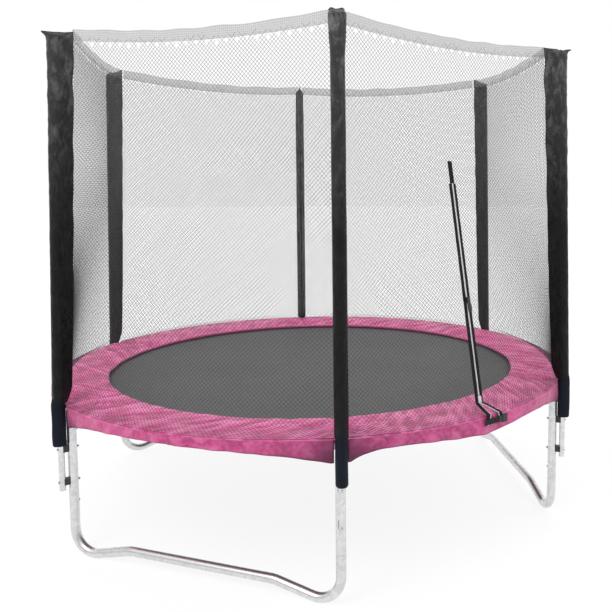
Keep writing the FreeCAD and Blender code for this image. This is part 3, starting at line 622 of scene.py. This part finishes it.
def topLine(top, r, t, openSide):
    # how far the sewn top stands above or below its height
    if "gathered" in top:
        side = np.abs(t) / 0.031
        return 0.007 * np.clip(side, 0, 0.55) / 0.55 - 0.012 * np.clip(side - 0.6, 0, 1) ** 2 / 0.16 - 0.003
    width = np.clip((r + 0.04) / 0.065, -1, 1)
    lobes = np.clip(1 - np.abs(openSide) / 0.020, 0, 1)
    line = -top["dip"] * lobes * 0.5 + top["slant"] * 0.5 * width + top["rise"] * np.clip(width, 0, 1)
    return line - 0.004 + 0.004 * np.abs(width) - top["notch"] * np.exp(-((r - 0.004) / 0.013) ** 2)


def gatheredLid(rim, ring):
    # strips between the two long sides, across the narrow way
    angle = postAngle(0)
    across = -rim[:, 0] * math.sin(angle) + rim[:, 1] * math.cos(angle)
    first, last, count = int(np.argmax(across)), int(np.argmin(across)), len(ring)
    sideA = [ring[(first + i) % count] for i in range((last - first) % count + 1)]
    sideB = [ring[(first - i) % count] for i in range((first - last) % count + 1)]
    faces = []
    while len(sideA) > 1 or len(sideB) > 1:
        if len(sideA) > 1 and (len(sideB) == 1 or len(sideA) >= len(sideB)):
            faces.append([sideA[0], sideA[1], sideB[0]])
            sideA = sideA[1:]
        else:
            faces.append([sideA[0], sideB[1], sideB[0]])
            sideB = sideB[1:]
    return [face for face in faces if len(set(face)) == 3]


def sewnLid(ring):
    # quads between the two flanks, from the middle of the pole's side to the seam
    count, middle = len(ring), coverSizes["poleSide"] // 2 - 1
    faces = []
    for k in range(count // 2):
        face = [ring[(middle + step) % count] for step in (k, k + 1, -k - 1, -k)]
        face = [i for n, i in enumerate(face) if i not in face[:n]]
        if len(face) > 2:
            faces.append(face)
    return faces


def makeCovers():
    for post in posts:
        grid = coverGrid(post)
        points, faces = clothShell(grid, coverSizes["wall"], closed=True)
        rows, columns = grid.shape[:2]
        last, half = (rows - 1) * columns, rows * columns
        faces = [face for face in faces if not all(i % half >= last for i in face)]
        for layer in (0, half):             # the top is sewn shut on both faces of the cloth
            ring = [layer + last + i for i in range(columns)]
            faces += gatheredLid(grid[-1], ring) if "gathered" in coverTops[post] else sewnLid(ring)
        piece = makePiece("poleSleeve%d" % (post + 1), points, faces, sleeveCloth)
        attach(piece, "frame")
        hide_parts("pole_cover_%d" % (post + 1))
    print("sleeves made")


foamSizes = {"radius": 0.0230, "bore": 0.0129, "bottom": 0.474, "top": 2.104, "lowRings": 40, "highRings": 50,
             "around": 32, "dent": 0.0006, "rounding": 0.0022, "lowBulge": 0.008, "bulgeAt": (0.64, 0.70),
             "lowTo": 0.66, "highFrom": 0.68}


def foamTube(post):
    # closed at both ends; below the covers it stands out further from the leg
    f = foamSizes
    low = np.linspace(f["bottom"], f["lowTo"], f["lowRings"])
    z = np.concatenate([low, np.linspace(f["highFrom"], f["top"], f["highRings"])])[:, None]
    turn = np.linspace(0, 2 * math.pi, f["around"], endpoint=False)[None, :]
    dent = ripple(turn / 6.283, z, 90 + post, (1.0, 6.0), 5) * f["dent"]
    edge = np.clip((z - f["bottom"]) / 0.006, 0, 1)
    outer = f["radius"] - f["rounding"] * (1 - np.sqrt(edge * (2 - edge))) + dent
    inner = np.full_like(outer, f["bore"])
    both = np.concatenate([inner[::-1], outer], 0)
    z = np.concatenate([z[::-1], z], 0)
    radial, across = both * np.cos(turn), both * np.sin(turn)
    bulge = f["lowBulge"] * (1 - smoothStep(z, *f["bulgeAt"])) * np.clip(radial / f["radius"], 0, 1)
    grid = turned(poleAxis(z) + radial + bulge * (both > 0.014), across, z, postAngle(post))
    faces = gridFaces(len(z), f["around"], closed=True)
    last = (len(z) - 1) * f["around"]
    for c in range(f["around"]):
        n = (c + 1) % f["around"]
        faces.append([last + c, last + n, n, c])
    return grid, faces


def makeFoam():
    points, faces = joined([foamTube(post) for post in posts])
    piece = makePiece("foamTubes", points, faces, foam)
    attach(piece, "frame")
    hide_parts("foam_sleeves")
    print("foam made")


# Each net panel is real strands on the curve between two seams.
netSizes = {"strand": 0.00150, "spacing": 0.0117, "sides": 5, "step": 0.045, "halfWidth": 0.590,
            "bottom": 0.6445, "flare": 0.6715, "waist": 1.6295, "top": 2.129,
            "footRadius": 1.2180, "flareRadius": 1.1460, "waistRadius": 0.96477, "topRadius": 0.97965,
            "inSeam": 0.0010, "sag": 0.030, "belowBand": 0.012, "lay": 0.0007,
            "slitFoot": 0.033, "slitTop": 0.0137}
netHeights = [netSizes[key] for key in ("bottom", "flare", "waist", "top")]
netRadii = [netSizes[key] for key in ("footRadius", "flareRadius", "waistRadius", "topRadius")]
flareLength = math.hypot(netHeights[1] - netHeights[0], netRadii[0] - netRadii[1])
waistLength = flareLength + math.hypot(netHeights[2] - netHeights[1], netRadii[1] - netRadii[2])
netLength = waistLength + netHeights[3] - netHeights[2]


def panelPoint(post, u, z, out=0.0):
    # u runs from -1 at one post's seam to 1 at the next, on an arc that bows to the panel's own radius
    middle = np.interp(z, netHeights, netRadii)
    seam = seamRadius(np.maximum(z, coverSizes["foot"])) + netSizes["inSeam"]
    halfChord = seam * math.sin(halfStep)
    chord = seam * math.cos(halfStep)
    bow = middle - chord
    size = np.maximum(np.abs(bow), 1e-5)
    arcRadius = (halfChord ** 2 + size ** 2) / (2 * size)
    side = u * halfChord
    x = chord + np.sign(bow) * (np.sqrt(arcRadius ** 2 - side ** 2) - (arcRadius - size)) + out
    return turned(x, side, z, postAngle(post) + halfStep)


def strandStations(start, way):
    # lengths up the panel at which one slanting strand is bent
    n = netSizes
    half = n["halfWidth"]
    low = max(0.0, -half - start if way > 0 else start - half)
    high = min(netLength, half - start if way > 0 else start + half)
    if high - low < 0.004:
        return None
    bends = [flareLength, flareLength - 0.025, flareLength - 0.05, waistLength]
    bends = [bend for bend in bends if low < bend < high]
    b = np.unique(np.concatenate([np.arange(low, high, n["step"]), bends, [high]]))
    return b[np.concatenate([[True], np.diff(b) > 0.003])]


def keptStations(post, number, a, b, z):
    # strands stop below the band, at the door's slit, and some at the back at the foot cord
    n = netSizes
    keep = z <= n["top"] - n["sag"] * (1 - (a / n["halfWidth"]) ** 2) - n["belowBand"]
    if number % 2 and 0 < post < 5:
        keep &= b >= flareLength - 0.004
    if post == 0:
        slit = np.interp(z, netHeights[:2], [n["slitFoot"], n["slitTop"]])
        keep &= ~((np.abs(a) < slit) & (z < n["flare"] + 0.004))
    return keep


def netLines(post):
    half, pitch = netSizes["halfWidth"], netSizes["spacing"] * math.sqrt(2)
    lines = []
    for way in (1, -1):
        low, high = (-half - netLength, half) if way > 0 else (-half, half + netLength)
        for number in range(math.ceil(low / pitch), math.floor(high / pitch) + 1):
            start = (number + 0.5) * pitch
            b = strandStations(start, way)
            if b is None:
                continue
            a = np.clip(start + way * b, -half, half)
            z = np.interp(b, [0.0, flareLength, waistLength, netLength], netHeights)
            points = panelPoint(post, a / half, z, out=way * netSizes["lay"])
            run = []
            for inside, point in zip(keptStations(post, number, a, b, z), points):
                if inside:
                    run.append(point)
                else:
                    if len(run) > 1:
                        lines.append(run)
                    run = []
            if len(run) > 1:
                lines.append(run)
    return lines


def lineMesh(name, lines):
    points, edges, count = [], [], 0
    for line in lines:
        points += [tuple(p) for p in line]
        edges += [(count + i, count + i + 1) for i in range(len(line) - 1)]
        count += len(line)
    mesh = bpy.data.meshes.new(name)
    mesh.from_pydata(points, edges, [])
    piece = bpy.data.objects.new(name, mesh)
    bpy.context.scene.collection.objects.link(piece)
    return piece


def geometryTree(name, sockets):
    tree = bpy.data.node_groups.new(name, "GeometryNodeTree")
    tree.interface.new_socket("Geometry", in_out="INPUT", socket_type="NodeSocketGeometry")
    for label, kind, value in sockets:
        socket = tree.interface.new_socket(label, in_out="INPUT", socket_type=kind)
        if value is not None:
            socket.default_value = value
    tree.interface.new_socket("Geometry", in_out="OUTPUT", socket_type="NodeSocketGeometry")
    return tree, tree.nodes.new("NodeGroupInput"), tree.nodes.new("NodeGroupOutput")


def endTree(tree, source, result, shape):
    real = addNode(tree, "GeometryNodeRealizeInstances", {"Geometry": shape})
    inputs = {"Geometry": real.outputs[0], "Material": source.outputs["Finish"]}
    tree.links.new(addNode(tree, "GeometryNodeSetMaterial", inputs).outputs[0], result.inputs[0])
    return tree


def strandTree():
    # round strands along the mesh's edges
    sockets = [("Width", "NodeSocketFloat", 0.0025), ("Sides", "NodeSocketInt", 5),
               ("Finish", "NodeSocketMaterial", None)]
    tree, source, result = geometryTree("roundStrands", sockets)
    curve = addNode(tree, "GeometryNodeMeshToCurve", {"Mesh": source.outputs["Geometry"]}).outputs[0]
    radius = mathNode(tree, "DIVIDE", source.outputs["Width"], 2.0)
    inputs = {"Resolution": source.outputs["Sides"], "Radius": radius}
    ring = addNode(tree, "GeometryNodeCurvePrimitiveCircle", inputs).outputs[0]
    tube = addNode(tree, "GeometryNodeCurveToMesh", {"Curve": curve, "Profile Curve": ring}).outputs[0]
    smooth = addNode(tree, "GeometryNodeSetShadeSmooth", {"Geometry": tube}).outputs[0]
    return endTree(tree, source, result, smooth)


def runTree(piece, tree, values):
    # sets the tree's inputs, and leaves a plain mesh
    modifier = piece.modifiers.new("make", "NODES")
    modifier.node_group = tree
    for item in tree.interface.items_tree:
        if item.item_type == "SOCKET" and item.in_out == "INPUT" and item.name in values:
            modifier[item.identifier] = values[item.name]
    bpy.context.view_layer.update()
    evaluated = piece.evaluated_get(bpy.context.evaluated_depsgraph_get())
    mesh = bpy.data.meshes.new_from_object(evaluated)
    mesh.name = piece.name
    piece.modifiers.clear()
    piece.data = mesh


strands = strandTree()


def makeNets():
    for post in posts:
        piece = lineMesh("netPanel%d" % (post + 1), netLines(post))
        runTree(piece, strands, {"Width": netSizes["strand"], "Sides": netSizes["sides"], "Finish": yarn})
        print(piece.name, len(piece.data.polygons), "faces")
        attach(piece, "frame")
        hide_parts("net_panel_%d" % (post + 1))


makeCovers()
makeFoam()
makeNets()

# The doubled band along the top of the net: how near it comes to each post's seam, and how far it is
# drawn up there, go by post.
bandSizes = {"height": 0.045, "thickness": 0.0022, "columns": 72, "rows": 5, "wave": 0.0018, "ruffle": 0.0012,
             "off": 0.001, "ends": (0.999, 0.999, 0.980, 0.974, 0.985, 0.999),
             "high": (0.011, 0.004, 0.000, 0.000, 0.006, 0.012), "flatHalf": 0.56, "flatStep": 1.3}


def bandPanel(post):
    b, after = bandSizes, (post + 1) % 6
    u = np.linspace(-b["ends"][post], b["ends"][after], b["columns"])[None, :]
    share = np.linspace(0, 1, b["rows"])[:, None]
    drawnUp = b["high"][post] + (b["high"][after] - b["high"][post]) * (u + 1) / 2
    wave = ripple(u, share * 0, 130 + post, (2.5, 0.0), 5) * b["wave"] * (1 - share)
    z = netSizes["top"] + drawnUp - netSizes["sag"] * (1 - u ** 2) - share * b["height"] + wave
    ruffle = ripple(u, share, 150 + post, (2.0, 1.0), 4) * b["ruffle"]
    grid = panelPoint(post, u + 0 * share, z, out=ruffle + b["off"])
    flatU = (u + 0 * share) * b["flatHalf"] + post * b["flatStep"]
    flatV = -share * b["height"] + 0 * u
    return grid, np.concatenate([np.stack([flatU, flatV], -1).reshape(-1, 2)] * 2)


def makeBand():
    panels = [bandPanel(post) for post in posts]
    points, faces = joined([clothShell(grid, bandSizes["thickness"]) for grid, _ in panels])
    piece = makePiece("netTopBand", points, faces, netting, merge=False)
    flat = np.concatenate([uv for _, uv in panels])
    layer = piece.data.uv_layers.new(name="UVMap")
    index = np.zeros(len(piece.data.loops), int)
    piece.data.loops.foreach_get("vertex_index", index)
    layer.data.foreach_set("uv", flat[index].ravel())
    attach(piece, "frame")
    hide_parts("net_top_band")
    print("band made")


makeBand()

# The spring pad is six stuffed sections, each with a hanging skirt.
padSizes = {"inner": 0.983, "outer": 1.2235, "bottom": 0.6300, "top": 0.6435, "across": 26, "along": 120,
            "edgeSteps": 7, "gap": 0.0006, "crown": 0.0025, "wave": 0.0026, "fold": 0.0036, "pucker": 0.0011,
            "puckerPitch": 0.047, "fan": 0.0048, "fanReach": 0.16, "edgeWave": 0.0016, "sink": 0.0125,
            "notch": 0.0245, "cord": (1.185, 1.205), "stiffEdge": 0.06, "seamPinch": 0.012}
skirtSizes = {"radius": 1.2250, "wall": 0.0016, "depth": 0.042, "drop": 0.052, "fall": 0.150,
              "leftFall": 0.210, "rightFall": 0.075, "columns": 220, "rows": 16, "hem": 0.0010,
              "hemAt": (0.84, 0.90), "tuck": 0.004, "ripple": 0.0016, "pucker": 0.0012}
# how much lower the first skirt hangs along its length, most beside the door
doorDrop = ((-0.88, -0.57, -0.33, -0.07, 0.13, 0.34, 0.60), (0.0, 0.010, 0.019, 0.030, 0.018, 0.005, 0.0))


def addShade(piece, shade, glint):
    # shade is painted shade and glint a painted highlight, both stored on the points
    for name, values in (("shade", shade), ("glint", glint)):
        attribute = piece.data.attributes.new(name, "FLOAT", "POINT")
        values = np.broadcast_to(values, len(piece.data.vertices))
        attribute.data.foreach_set("value", np.asarray(values, np.float32))


def padSection():
    # radius and height round the section: out along the top, round the edge, back below, round the inner edge
    p = padSizes
    turn = np.linspace(0, math.pi, p["edgeSteps"] + 2)[1:-1]
    half = (p["top"] - p["bottom"]) / 2
    span = np.linspace(0, 1, p["across"])
    flat = p["inner"] + half + (p["outer"] - p["inner"] - 2 * half) * span
    outer = p["outer"] - half + half * np.sin(turn)
    inner = p["inner"] + half - half * np.sin(turn)
    radius = [flat, outer, flat[::-1], inner]
    level = [np.full(len(span), half), half * np.cos(turn), np.full(len(span), -half), -half * np.cos(turn)]
    return np.concatenate(radius), np.concatenate(level)


def padRelief(r, arc, across, seam, post):
    # large waves and slanting folds, and a fan of folds at each end seam
    p = padSizes
    waves = ripple(arc, r, 200 + post, (3.2, 4.5), 8) * p["wave"]
    folds = ripple(arc + r * 0.9, r, 230 + post, (6.5, 2.0), 6, ridged=True) * p["fold"]
    fan = np.cos(2 * math.pi * np.arctan2(r - 1.05, seam + 0.02) * 4.0 + post) * p["fan"]
    fan = fan * np.exp(-seam / p["fanReach"]) * np.sin(math.pi * np.clip(across, 0.02, 0.98))
    return waves, folds + fan


def padGrid(post):
    p = padSizes
    u = np.linspace(-1, 1, p["along"])[None, :]
    radius, level = padSection()
    middle = (p["top"] + p["bottom"]) / 2
    upper = (level > -(p["top"] - middle) * 0.2)[:, None]
    r = np.repeat(radius[:, None], p["along"], 1)
    across = np.clip((r - p["inner"]) / (p["outer"] - p["inner"]), 0, 1)
    arc = u * halfStep * r
    seam = (1 - np.abs(u)) * halfStep * r             # distance from the nearer end seam
    a = postAngle(post) + halfStep + u * (halfStep - p["gap"] / r)
    waves, folds = padRelief(r, arc, across, seam, post)
    nearEdges = np.exp(-(1 - across) / 0.13) + 0.8 * np.exp(-across / 0.10)
    beat = arc / p["puckerPitch"] + 0.25 * np.sin(arc * 19.0)
    puckers = np.sin(2 * math.pi * beat) * p["pucker"] * nearEdges
    # the net's foot cord holds the pad flat outside, and the inner edge is stiffer
    offEdge = smoothStep(r, p["inner"], p["inner"] + p["stiffEdge"])
    free = (1 - 0.75 * smoothStep(r, *p["cord"])) * (0.3 + 0.7 * offEdge)
    rise = p["crown"] * np.sin(math.pi * across) ** 0.6 + (waves + folds + puckers) * free
    pinch = 1 - 0.62 * np.exp(-seam / p["seamPinch"])
    z = middle + level[:, None] * pinch + np.where(upper, rise, -0.2 * np.abs(waves))
    z = z - 0.003 * np.exp(-seam / 0.035) * upper
    r = r + ripple(arc, r * 0, 260 + post, (3.0, 0.0), 5) * p["edgeWave"] * np.exp(-across / 0.06)
    # towards the back the inner edge sinks to the mat
    inward = 1 - smoothStep(r, p["inner"] + 0.004, p["inner"] + 0.085)
    z = z - p["sink"] * smoothStep(np.sin(a), -0.45, 0.35) * inward
    # half of a round notch at each end, for the foam on the post
    cut = np.sqrt(np.clip(p["notch"] ** 2 - seam ** 2, 0, None))
    limit = poleSizes["radius"] - cut - 0.0015
    r = np.where((cut > 0) & (r > limit), limit, r)
    return r, a, z, (waves + folds) * upper


def padFaces(rows, columns):
    # rows go round the section, and each end is closed by a wall
    faces = gridFaces(columns, rows, closed=True)
    flat, edge = padSizes["across"], padSizes["edgeSteps"]
    for base in (0, (columns - 1) * rows):
        for i in range(flat - 1):
            lower = base + 2 * flat + edge - i
            faces.append([base + i, base + i + 1, lower - 2, lower - 1])
        faces.append([base + flat - 1 + i for i in range(edge + 2)])
        faces.append([base + (2 * flat + edge - 1 + i) % rows for i in range(edge + 2)])
    return faces


def makePad(post):
    r, a, z, relief = padGrid(post)
    rows, columns = r.shape
    points = polar(r, a, z).transpose(1, 0, 2)
    piece = makePiece("springPad%d" % (post + 1), points, padFaces(rows, columns), pink)
    where = np.zeros(len(piece.data.vertices) * 3)
    piece.data.vertices.foreach_get("co", where)
    where = where.reshape(-1, 3)
    radius = np.hypot(where[:, 0], where[:, 1])
    turn = np.arctan2(where[:, 1], where[:, 0]) - (postAngle(post) + halfStep)
    turn = (turn + math.pi) % (2 * math.pi) - math.pi
    seam = (halfStep - np.abs(turn)) * radius
    # painted shade in the hollows, along both edges and along the seams; painted highlight over the top, more
    # on the folds and at the front
    shade = 0.55 * np.exp(-np.abs(radius - padSizes["inner"]) / 0.004) + 0.45 * np.exp(-seam / 0.003)
    shade = np.maximum(shade, 0.5 * np.exp(-np.abs(radius - padSizes["outer"] + 0.002) / 0.004))
    high = relief.T.ravel() / 0.005
    shade = np.maximum(shade, 0.30 * np.clip(-high, 0, 1))
    litFront = np.sin(turn + postAngle(post) + halfStep) < -0.5
    addShade(piece, np.clip(shade, 0, 0.7), np.clip(0.24 + 0.16 * litFront + 0.5 * high, 0, 0.85))
    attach(piece, "frame")
    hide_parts("spring_pad_%d" % (post + 1))


def skirtDepthAt(post, u, distance):
    # deepest beside the posts; the front post's two skirts rise at their own rates
    s = skirtSizes
    left = s["rightFall"] if post == 0 else s["fall"]
    right = s["leftFall"] if post == 5 else s["fall"]
    fall = np.where(u < 0, left, right)
    depth = s["depth"] + s["drop"] * np.exp(-(np.maximum(distance - 0.012, 0) / fall) ** 1.05)
    return depth + np.interp(u, *doorDrop) if post == 0 else depth


def makeSkirt(post):
    s = skirtSizes
    length = halfStep * s["radius"]
    u = np.linspace(-1, 1, s["columns"])[None, :]
    share = np.linspace(0, 1, s["rows"])[:, None]
    distance = (1 - np.abs(u)) * length
    u = u * (1 - padSizes["notch"] / length)
    near = np.exp(-distance / 0.10)
    ripples = ripple(u * 0.64, share * 0.05, 300 + post, (9.0, 6.0), 7) * s["ripple"]
    puckers = ripple(u * 0.64, share * 0.02, 330 + post, (4.0, 10.0), 5, ridged=True) * s["pucker"]
    ripples = ripples + puckers
    hem = s["hem"] * smoothStep(share, *s["hemAt"])
    tuck = s["tuck"] * smoothStep(share, 0.5, 1.0) * np.exp(-distance / 0.05)
    out = -0.004 * (1 - share) ** 3 + 0.0010 + ripples * (0.15 + share) + hem - tuck
    radius = s["radius"] - s["wall"] / 2 + np.clip(out, -0.005, 0.0055)
    z = padSizes["top"] - 0.0010 - share * (skirtDepthAt(post, u, distance) - 0.0010)
    angle = postAngle(post) + halfStep + u * halfStep
    points, faces = clothShell(polar(radius, angle + 0 * share, z), s["wall"])
    piece = makePiece("padSkirt%d" % (post + 1), points, faces, pink, merge=False)
    # painted shade: darkest at the front, beside the posts, under the pad's edge, along the hem and in the
    # ripples' hollows; painted highlight on the ripples' crests
    fromFront = np.abs((angle + math.pi / 2 + math.pi) % (2 * math.pi) - math.pi)
    shade = 0.34 + 0.20 * np.exp(-fromFront / 0.30) + near * (0.08 + 0.50 * share ** 1.2)
    shade = shade + 0.75 * smoothStep(share, 0.90, 1.0) * (0.35 + near) + 0.55 * np.exp(-share / 0.06)
    shade = np.clip(shade + 18.0 * np.clip(-ripples, 0, 0.02), 0, 0.88) * np.ones_like(z)
    glint = np.clip(ripples / 0.004, 0, 0.5) * (1 - near) * np.ones_like(z)
    addShade(piece, np.concatenate([shade.ravel()] * 2), np.concatenate([glint.ravel()] * 2))
    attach(piece, "frame")


for post in posts:
    makePad(post)
    makeSkirt(post)
print("pads and skirts made")

matSizes = {"radius": 1.0405, "middle": 0.0005, "low": 0.6112, "high": 0.6128, "rings": 46, "around": 192,
            "hemInner": 1.001, "hemLow": 0.6080, "hemHigh": 0.6110, "hemRings": 6, "hemAround": 288}


def discShell(inner, outer, low, high, rings, around):
    radius = np.linspace(inner, outer, rings)[:, None]
    turn = np.linspace(0, 2 * math.pi, around, endpoint=False)[None, :]
    return clothShell(polar(radius, turn, (low + high) / 2), high - low, closed=True)


def makeMat():
    m = matSizes
    points, faces = discShell(m["middle"], m["radius"], m["low"], m["high"], m["rings"], m["around"])
    piece = makePiece("jumpMat", points, faces, weave)
    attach(piece, "mat")
    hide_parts("jump_mat")
    points, faces = discShell(m["hemInner"], m["radius"], m["hemLow"], m["hemHigh"], m["hemRings"],
                              m["hemAround"])
    hem = makePiece("matHem", points, faces, webbing)
    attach(hem, "mat")
    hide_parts("mat_hem")
    print("mat made")


springSizes = {"inner": 1.0704, "outer": 1.1855, "coilStart": 1.0804, "coilEnd": 1.1695, "radius": 0.0086,
               "wire": 0.0028, "sides": 5, "turns": 21, "stepsPerTurn": 9, "height": 0.610, "count": 48,
               "perPiece": 2, "frameEnd": 1.176, "matEnd": 1.072}


def springLine():
    # a hook in the mat's ring, the coil, and a hook in the rail, along +X
    s = springSizes
    share = np.linspace(0, 1, s["turns"] * s["stepsPerTurn"] + 1)
    turn = share * s["turns"] * 2 * math.pi
    size = s["radius"] * np.clip(np.minimum(share, 1 - share) / 0.04, 0.12, 1)
    x = s["coilStart"] + 0.002 + (s["coilEnd"] - s["coilStart"] - 0.004) * share
    coil = np.stack([x, size * np.cos(turn), s["height"] + size * np.sin(turn)], -1)
    inner, level = s["inner"], s["height"]
    innerHook = [[inner + 0.0040, -0.004, level], [inner + 0.0008, -0.001, level - 0.003],
                 [inner + 0.0004, 0.0015, level], [inner + 0.004, 0.003, level + 0.002],
                 [s["coilStart"] - 0.002, 0.002, level]]
    outerHook = [[s["coilEnd"] + 0.003, 0.001, level], [s["outer"], 0.0, level]]
    return np.concatenate([innerHook, coil, outerHook])


def makeSprings():
    s, line = springSizes, springLine()
    step = 2 * math.pi / s["count"]
    for number, first in enumerate(range(0, s["count"], s["perPiece"])):
        lines = [turned(*line.T, (index + 0.5) * step) for index in range(first, first + s["perPiece"])]
        piece = lineMesh("springPair%02d" % (number + 1), lines)
        runTree(piece, strands, {"Width": s["wire"], "Sides": s["sides"], "Finish": springSteel})
        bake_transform(piece)
        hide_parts("springs")
    print("springs made")


makeMat()
makeSprings()

# Elastic ties hold the pad down round the rail.
tieSizes = {"rail": 1.201, "height": 0.610, "reach": 0.0197, "rise": 0.0195, "halfWidth": 0.010,
            "thickness": 0.0013, "degrees": (-15.0, 15.0)}


def makeTies():
    s = tieSizes
    turn = np.linspace(0, math.pi, 17)
    path = [(s["reach"], s["rise"])] + [(s["reach"] * math.cos(t), -s["reach"] * math.sin(t)) for t in turn]
    path = np.array(path + [(-s["reach"], s["rise"])])
    across = np.linspace(-s["halfWidth"], s["halfWidth"], 5)[None, :]
    x = s["rail"] + path[:, :1] + 0 * across
    z = s["height"] + path[:, 1:] + 0 * across
    middles = [postAngle(post) + halfStep for post in posts]
    angles = [middle + math.radians(degrees) for middle in middles for degrees in s["degrees"]]
    parts = [clothShell(turned(x, across + 0 * x, z, angle), s["thickness"]) for angle in angles]
    points, faces = joined(parts)
    piece = makePiece("padTies", points, faces, webbing)
    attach(piece, "frame")
    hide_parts("pad_ties")
    print("ties made")


makeTies()

# The door: two tapes with the teeth between them, a patch over the top end, and the strap of the clip.
doorAngle = math.radians(-60.0)
doorSizes = {"netFace": 1.1480, "flare": 0.6715, "lean": math.radians(10.712611), "chain": 0.878,
             "off": 0.0006, "tape": 0.0150, "tapeMore": 0.0025, "tapeThick": 0.0013, "halfChain": 0.0032,
             "slitSpread": 0.023, "strapSpread": 0.037, "tapeFace": 1.2285, "padTop": 0.6435,
             "slitBottom": 0.607, "patchTop": 0.970, "patchHalf": 0.0113, "patchThick": 0.0015,
             "tooth": (0.0030, 0.0019, 0.0019), "toothPitch": 0.0030, "toothRow": 0.0015, "toothIn": 0.0014}
strapSizes = {"face": 1.2355, "from": -0.055, "to": 0.0205, "thickness": 0.0016, "wave": 0.0004}


def doorPoint(out, side, height):
    return turned(out, side, height, doorAngle)


def upChain(along, off):
    # a place on the leaning net, measured from the flare
    d = doorSizes
    out = d["netFace"] + off * math.cos(d["lean"]) - along * math.sin(d["lean"])
    return out, d["flare"] + off * math.sin(d["lean"]) + along * math.cos(d["lean"])


def tapeLine():
    # out, height and half the distance between the tapes, from the zip's top to the foot of the slit
    d = doorSizes
    off = d["off"] + d["tapeThick"] / 2
    stations = [(*upChain(along, off), d["halfChain"]) for along in np.linspace(d["chain"], 0.0, 60)]
    startOut, startHeight, _ = stations[-1]
    slitOut, slitHeight = d["tapeFace"] + off, d["padTop"] + 0.002
    for share in np.linspace(0, 1, 14)[1:]:                 # out over the pad
        ease = share + 0.10 * math.sin(math.pi * share)
        stations.append((startOut + (slitOut - startOut) * share,
                         startHeight + (slitHeight + 0.002 - startHeight) * share,
                         d["halfChain"] + (d["slitSpread"] - d["halfChain"]) * ease))
    for share in np.linspace(0, 1, 9)[1:]:                  # down the skirt
        stations.append((slitOut + 0.0012 * math.sin(math.pi * min(1, share * 1.2)),
                         slitHeight + (d["slitBottom"] - slitHeight) * share,
                         d["slitSpread"] + (d["strapSpread"] - d["slitSpread"]) * share))
    return np.array(stations)


def makeTapes(line):
    d = doorSizes
    out, height, inner = line[:, :1], line[:, 1:2], line[:, 2:3]
    across = np.linspace(0, 1, 5)[None, :]
    width = d["tape"] + d["tapeMore"] * (1 - smoothStep(height, 0.70, 1.35))
    wave = 0.0005 * np.sin(height * 60.0 + across * 2.0)
    parts = []
    for side in (-1, 1):
        grid = doorPoint(out + wave, side * (inner + width * across), height + 0 * across)
        parts.append(clothShell(grid, d["tapeThick"]))
    along = np.linspace(d["chain"] + 0.0005, d["patchTop"] - 0.0005, 14)[:, None]
    across = np.linspace(-d["patchHalf"], d["patchHalf"], 9)[None, :]
    pucker = 0.0004 * np.sin(along * 190) * np.cos(across * 120)
    patchOut, patchHeight = upChain(along, d["off"] + 0.0008 + pucker)
    patch = doorPoint(patchOut, across + 0 * along, patchHeight)
    parts.append(clothShell(patch, d["patchThick"]))
    points, faces = joined(parts)
    piece = makePiece("zipTapes", points, faces, zipCloth)
    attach(piece, "frame")
    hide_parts("zip_tapes")
    print("tapes made")


def toothTree():
    # one small block at every pitch along the mesh's edges
    sockets = [("Pitch", "NodeSocketFloat", 0.003), ("Tooth size", "NodeSocketVector", (0.002, 0.003, 0.002)),
               ("Finish", "NodeSocketMaterial", None)]
    tree, source, result = geometryTree("teethOnPath", sockets)
    curve = addNode(tree, "GeometryNodeMeshToCurve", {"Mesh": source.outputs["Geometry"]}).outputs[0]
    inputs = {"Curve": curve, "Length": source.outputs["Pitch"]}
    spots = addNode(tree, "GeometryNodeCurveToPoints", inputs, mode="LENGTH")
    tooth = addNode(tree, "GeometryNodeMeshCube", {"Size": source.outputs["Tooth size"]}).outputs[0]
    inputs = {"Points": spots.outputs["Points"], "Instance": tooth, "Rotation": spots.outputs["Rotation"]}
    teeth = addNode(tree, "GeometryNodeInstanceOnPoints", inputs).outputs[0]
    return endTree(tree, source, result, teeth)


def makeTeeth(line):
    # two rows that mesh over the closed part, and part with the tapes below
    d = doorSizes
    lines = []
    for side in (-1, 1):
        row = []
        for out, height, inner in line:
            closed = inner <= d["halfChain"] + 1e-4
            offset = d["toothRow"] if closed else max(inner - d["toothIn"], d["toothRow"])
            row.append(doorPoint(out + 0.0012, side * offset, height + 0.0008 * side))
        lines.append(row)
    piece = lineMesh("zipTeeth", lines)
    values = {"Pitch": d["toothPitch"], "Tooth size": d["tooth"], "Finish": whitePlastic}
    runTree(piece, toothTree(), values)
    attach(piece, "frame")
    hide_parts("zip_chain")
    print("teeth", len(piece.data.polygons), "faces")


def makeStrap():
    s = strapSizes
    low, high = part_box("door_strap")
    side = np.linspace(s["from"], s["to"], 34)[:, None]
    share = np.linspace(0, 1, 7)[None, :]
    out = s["face"] + s["wave"] * np.sin(side * 210.0) * np.sin(math.pi * share)
    grid = doorPoint(out, side + 0 * share, low.z + (high.z - low.z) * share + 0 * side)
    points, faces = clothShell(grid, s["thickness"])
    piece = makePiece("doorStrap", points, faces, webbing)
    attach(piece, "clip")
    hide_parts("door_strap")
    print("strap made")


doorLine = tapeLine()
makeTapes(doorLine)
makeTeeth(doorLine)
makeStrap()
